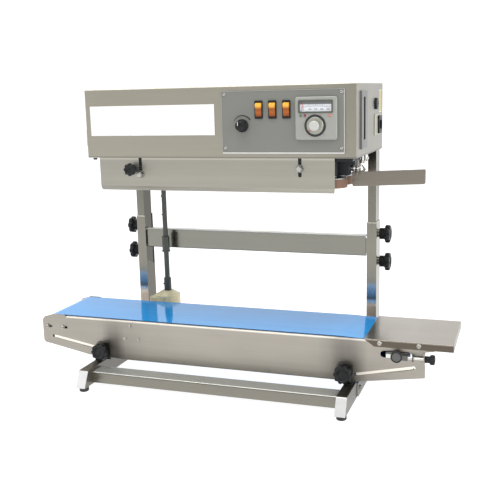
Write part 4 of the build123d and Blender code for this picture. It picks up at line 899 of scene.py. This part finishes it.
# plated heads and sleeves of the hanging screws, and plated rings on the spring stands
bm = bmesh.new()
for x, y, foot in HANGING_SCREWS:
    slab(bm, hexagon(4.75 * MM, 30), standing(x, y), (foot - 0.15) * MM, (foot + 4.6) * MM)
    lathe(bm, mm((2.6, foot + 4.5), (2.6, HEAD_UNDERSIDE)), standing(x, y), 20)
for x, y in SPRING_STANDS:
    lathe(bm, mm((3.4, 408.9), (3.8, 409.3), (3.8, 411.7), (3.4, 412.1)), standing(x, y), 24)
add_piece("infeed_plated_heads", bm, "chrome", "head", smooth=False)


# ---------------------------------------------------------------- floor, light, camera
HALF_WIDTH = 9.0        # of the floor, and how far it runs to the front, in metres
WALL_FOOT = 5.0         # where the floor starts to bend up
BEND = 2.0
WALL_TOP = 9.0
backdrop = Shader("stage_white")
drift = backdrop.noise((1.5, 1.5, 1.5), 2.0)
backdrop.link(backdrop.mix(backdrop.span(drift, 0.0, 1.0), (0.30, 0.30, 0.30), (0.33, 0.33, 0.33)),
              backdrop.bsdf.inputs["Base Color"])
backdrop.put(Roughness=0.95, Emission_Color=(1, 1, 1, 1), Emission_Strength=0.95)
section = [(-HALF_WIDTH, 0.0), (WALL_FOOT, 0.0)]
for angle in range(10, 91, 10):
    turn = math.radians(angle)
    section.append((WALL_FOOT + BEND * math.sin(turn), BEND - BEND * math.cos(turn)))
section.append((WALL_FOOT + BEND, WALL_TOP))
bm = bmesh.new()
left, right = [[bm.verts.new((x, y, z)) for y, z in section] for x in (-HALF_WIDTH, HALF_WIDTH)]
for i in range(len(section) - 1):
    bm.faces.new((left[i], right[i], right[i + 1], left[i + 1]))
mesh = bpy.data.meshes.new("floor_sweep")
bm.to_mesh(mesh)
bm.free()
for face in mesh.polygons:
    face.use_smooth = True
mesh.materials.append(backdrop.mat)
floor = bpy.data.objects.new("floor_sweep", mesh)
bpy.context.scene.collection.objects.link(floor)

# a world that is a little brighter overhead
world = bpy.data.worlds.new("studio")
bpy.context.scene.world = world
world.use_nodes = True
tree = world.node_tree
tree.nodes.clear()
output, sky, place, split, ramp = [
    tree.nodes.new("ShaderNode" + kind)
    for kind in ("OutputWorld", "Background", "TexCoord", "SeparateXYZ", "ValToRGB")]
ramp.color_ramp.elements[0].color = (0.62, 0.62, 0.62, 1)
ramp.color_ramp.elements[1].position = 0.75
ramp.color_ramp.elements[1].color = (1.0, 1.0, 1.0, 1)
sky.inputs["Strength"].default_value = 0.75
for source, target in ((place.outputs["Generated"], split.inputs["Vector"]),
                       (split.outputs["Z"], ramp.inputs["Fac"]),
                       (ramp.outputs["Color"], sky.inputs["Color"]),
                       (sky.outputs["Background"], output.inputs["Surface"])):
    tree.links.new(source, target)


def area_light(name, place, aim, size, power):
    data = bpy.data.lights.new(name, "AREA")
    data.shape = "RECTANGLE"
    data.size, data.size_y = size
    data.energy = power
    lamp = bpy.data.objects.new(name, data)
    lamp.location = place
    lamp.rotation_euler = (Vector(aim) - Vector(place)).to_track_quat("-Z", "Y").to_euler()
    bpy.context.scene.collection.objects.link(lamp)


area_light("top_soft", (-0.3, -0.6, 2.6), (0, 0, 0.2), (2.4, 1.8), 42)
area_light("right_soft", (2.6, -0.6, 1.3), (0.1, 0, 0.35), (1.6, 1.8), 34)
area_light("left_soft", (-2.4, -1.2, 1.2), (0, 0, 0.3), (1.2, 1.8), 12)

CAMERA_PLACE = (0.50737, -1.41724, 0.54523)
CAMERA_TURN = (78.813, 1.416, 19.129)     # degrees about X, Y and Z
cam_data = bpy.data.cameras.new("camera")
cam_data.sensor_width = 36.0
cam_data.lens = 57.377
cam_data.clip_end = 60.0
camera = bpy.data.objects.new("camera", cam_data)
aim = Euler([math.radians(angle) for angle in CAMERA_TURN])
camera.matrix_world = Matrix.Translation(CAMERA_PLACE) @ aim.to_matrix().to_4x4()
bpy.context.scene.collection.objects.link(camera)
bpy.context.scene.camera = camera
bpy.context.scene.view_settings.view_transform = "Standard"
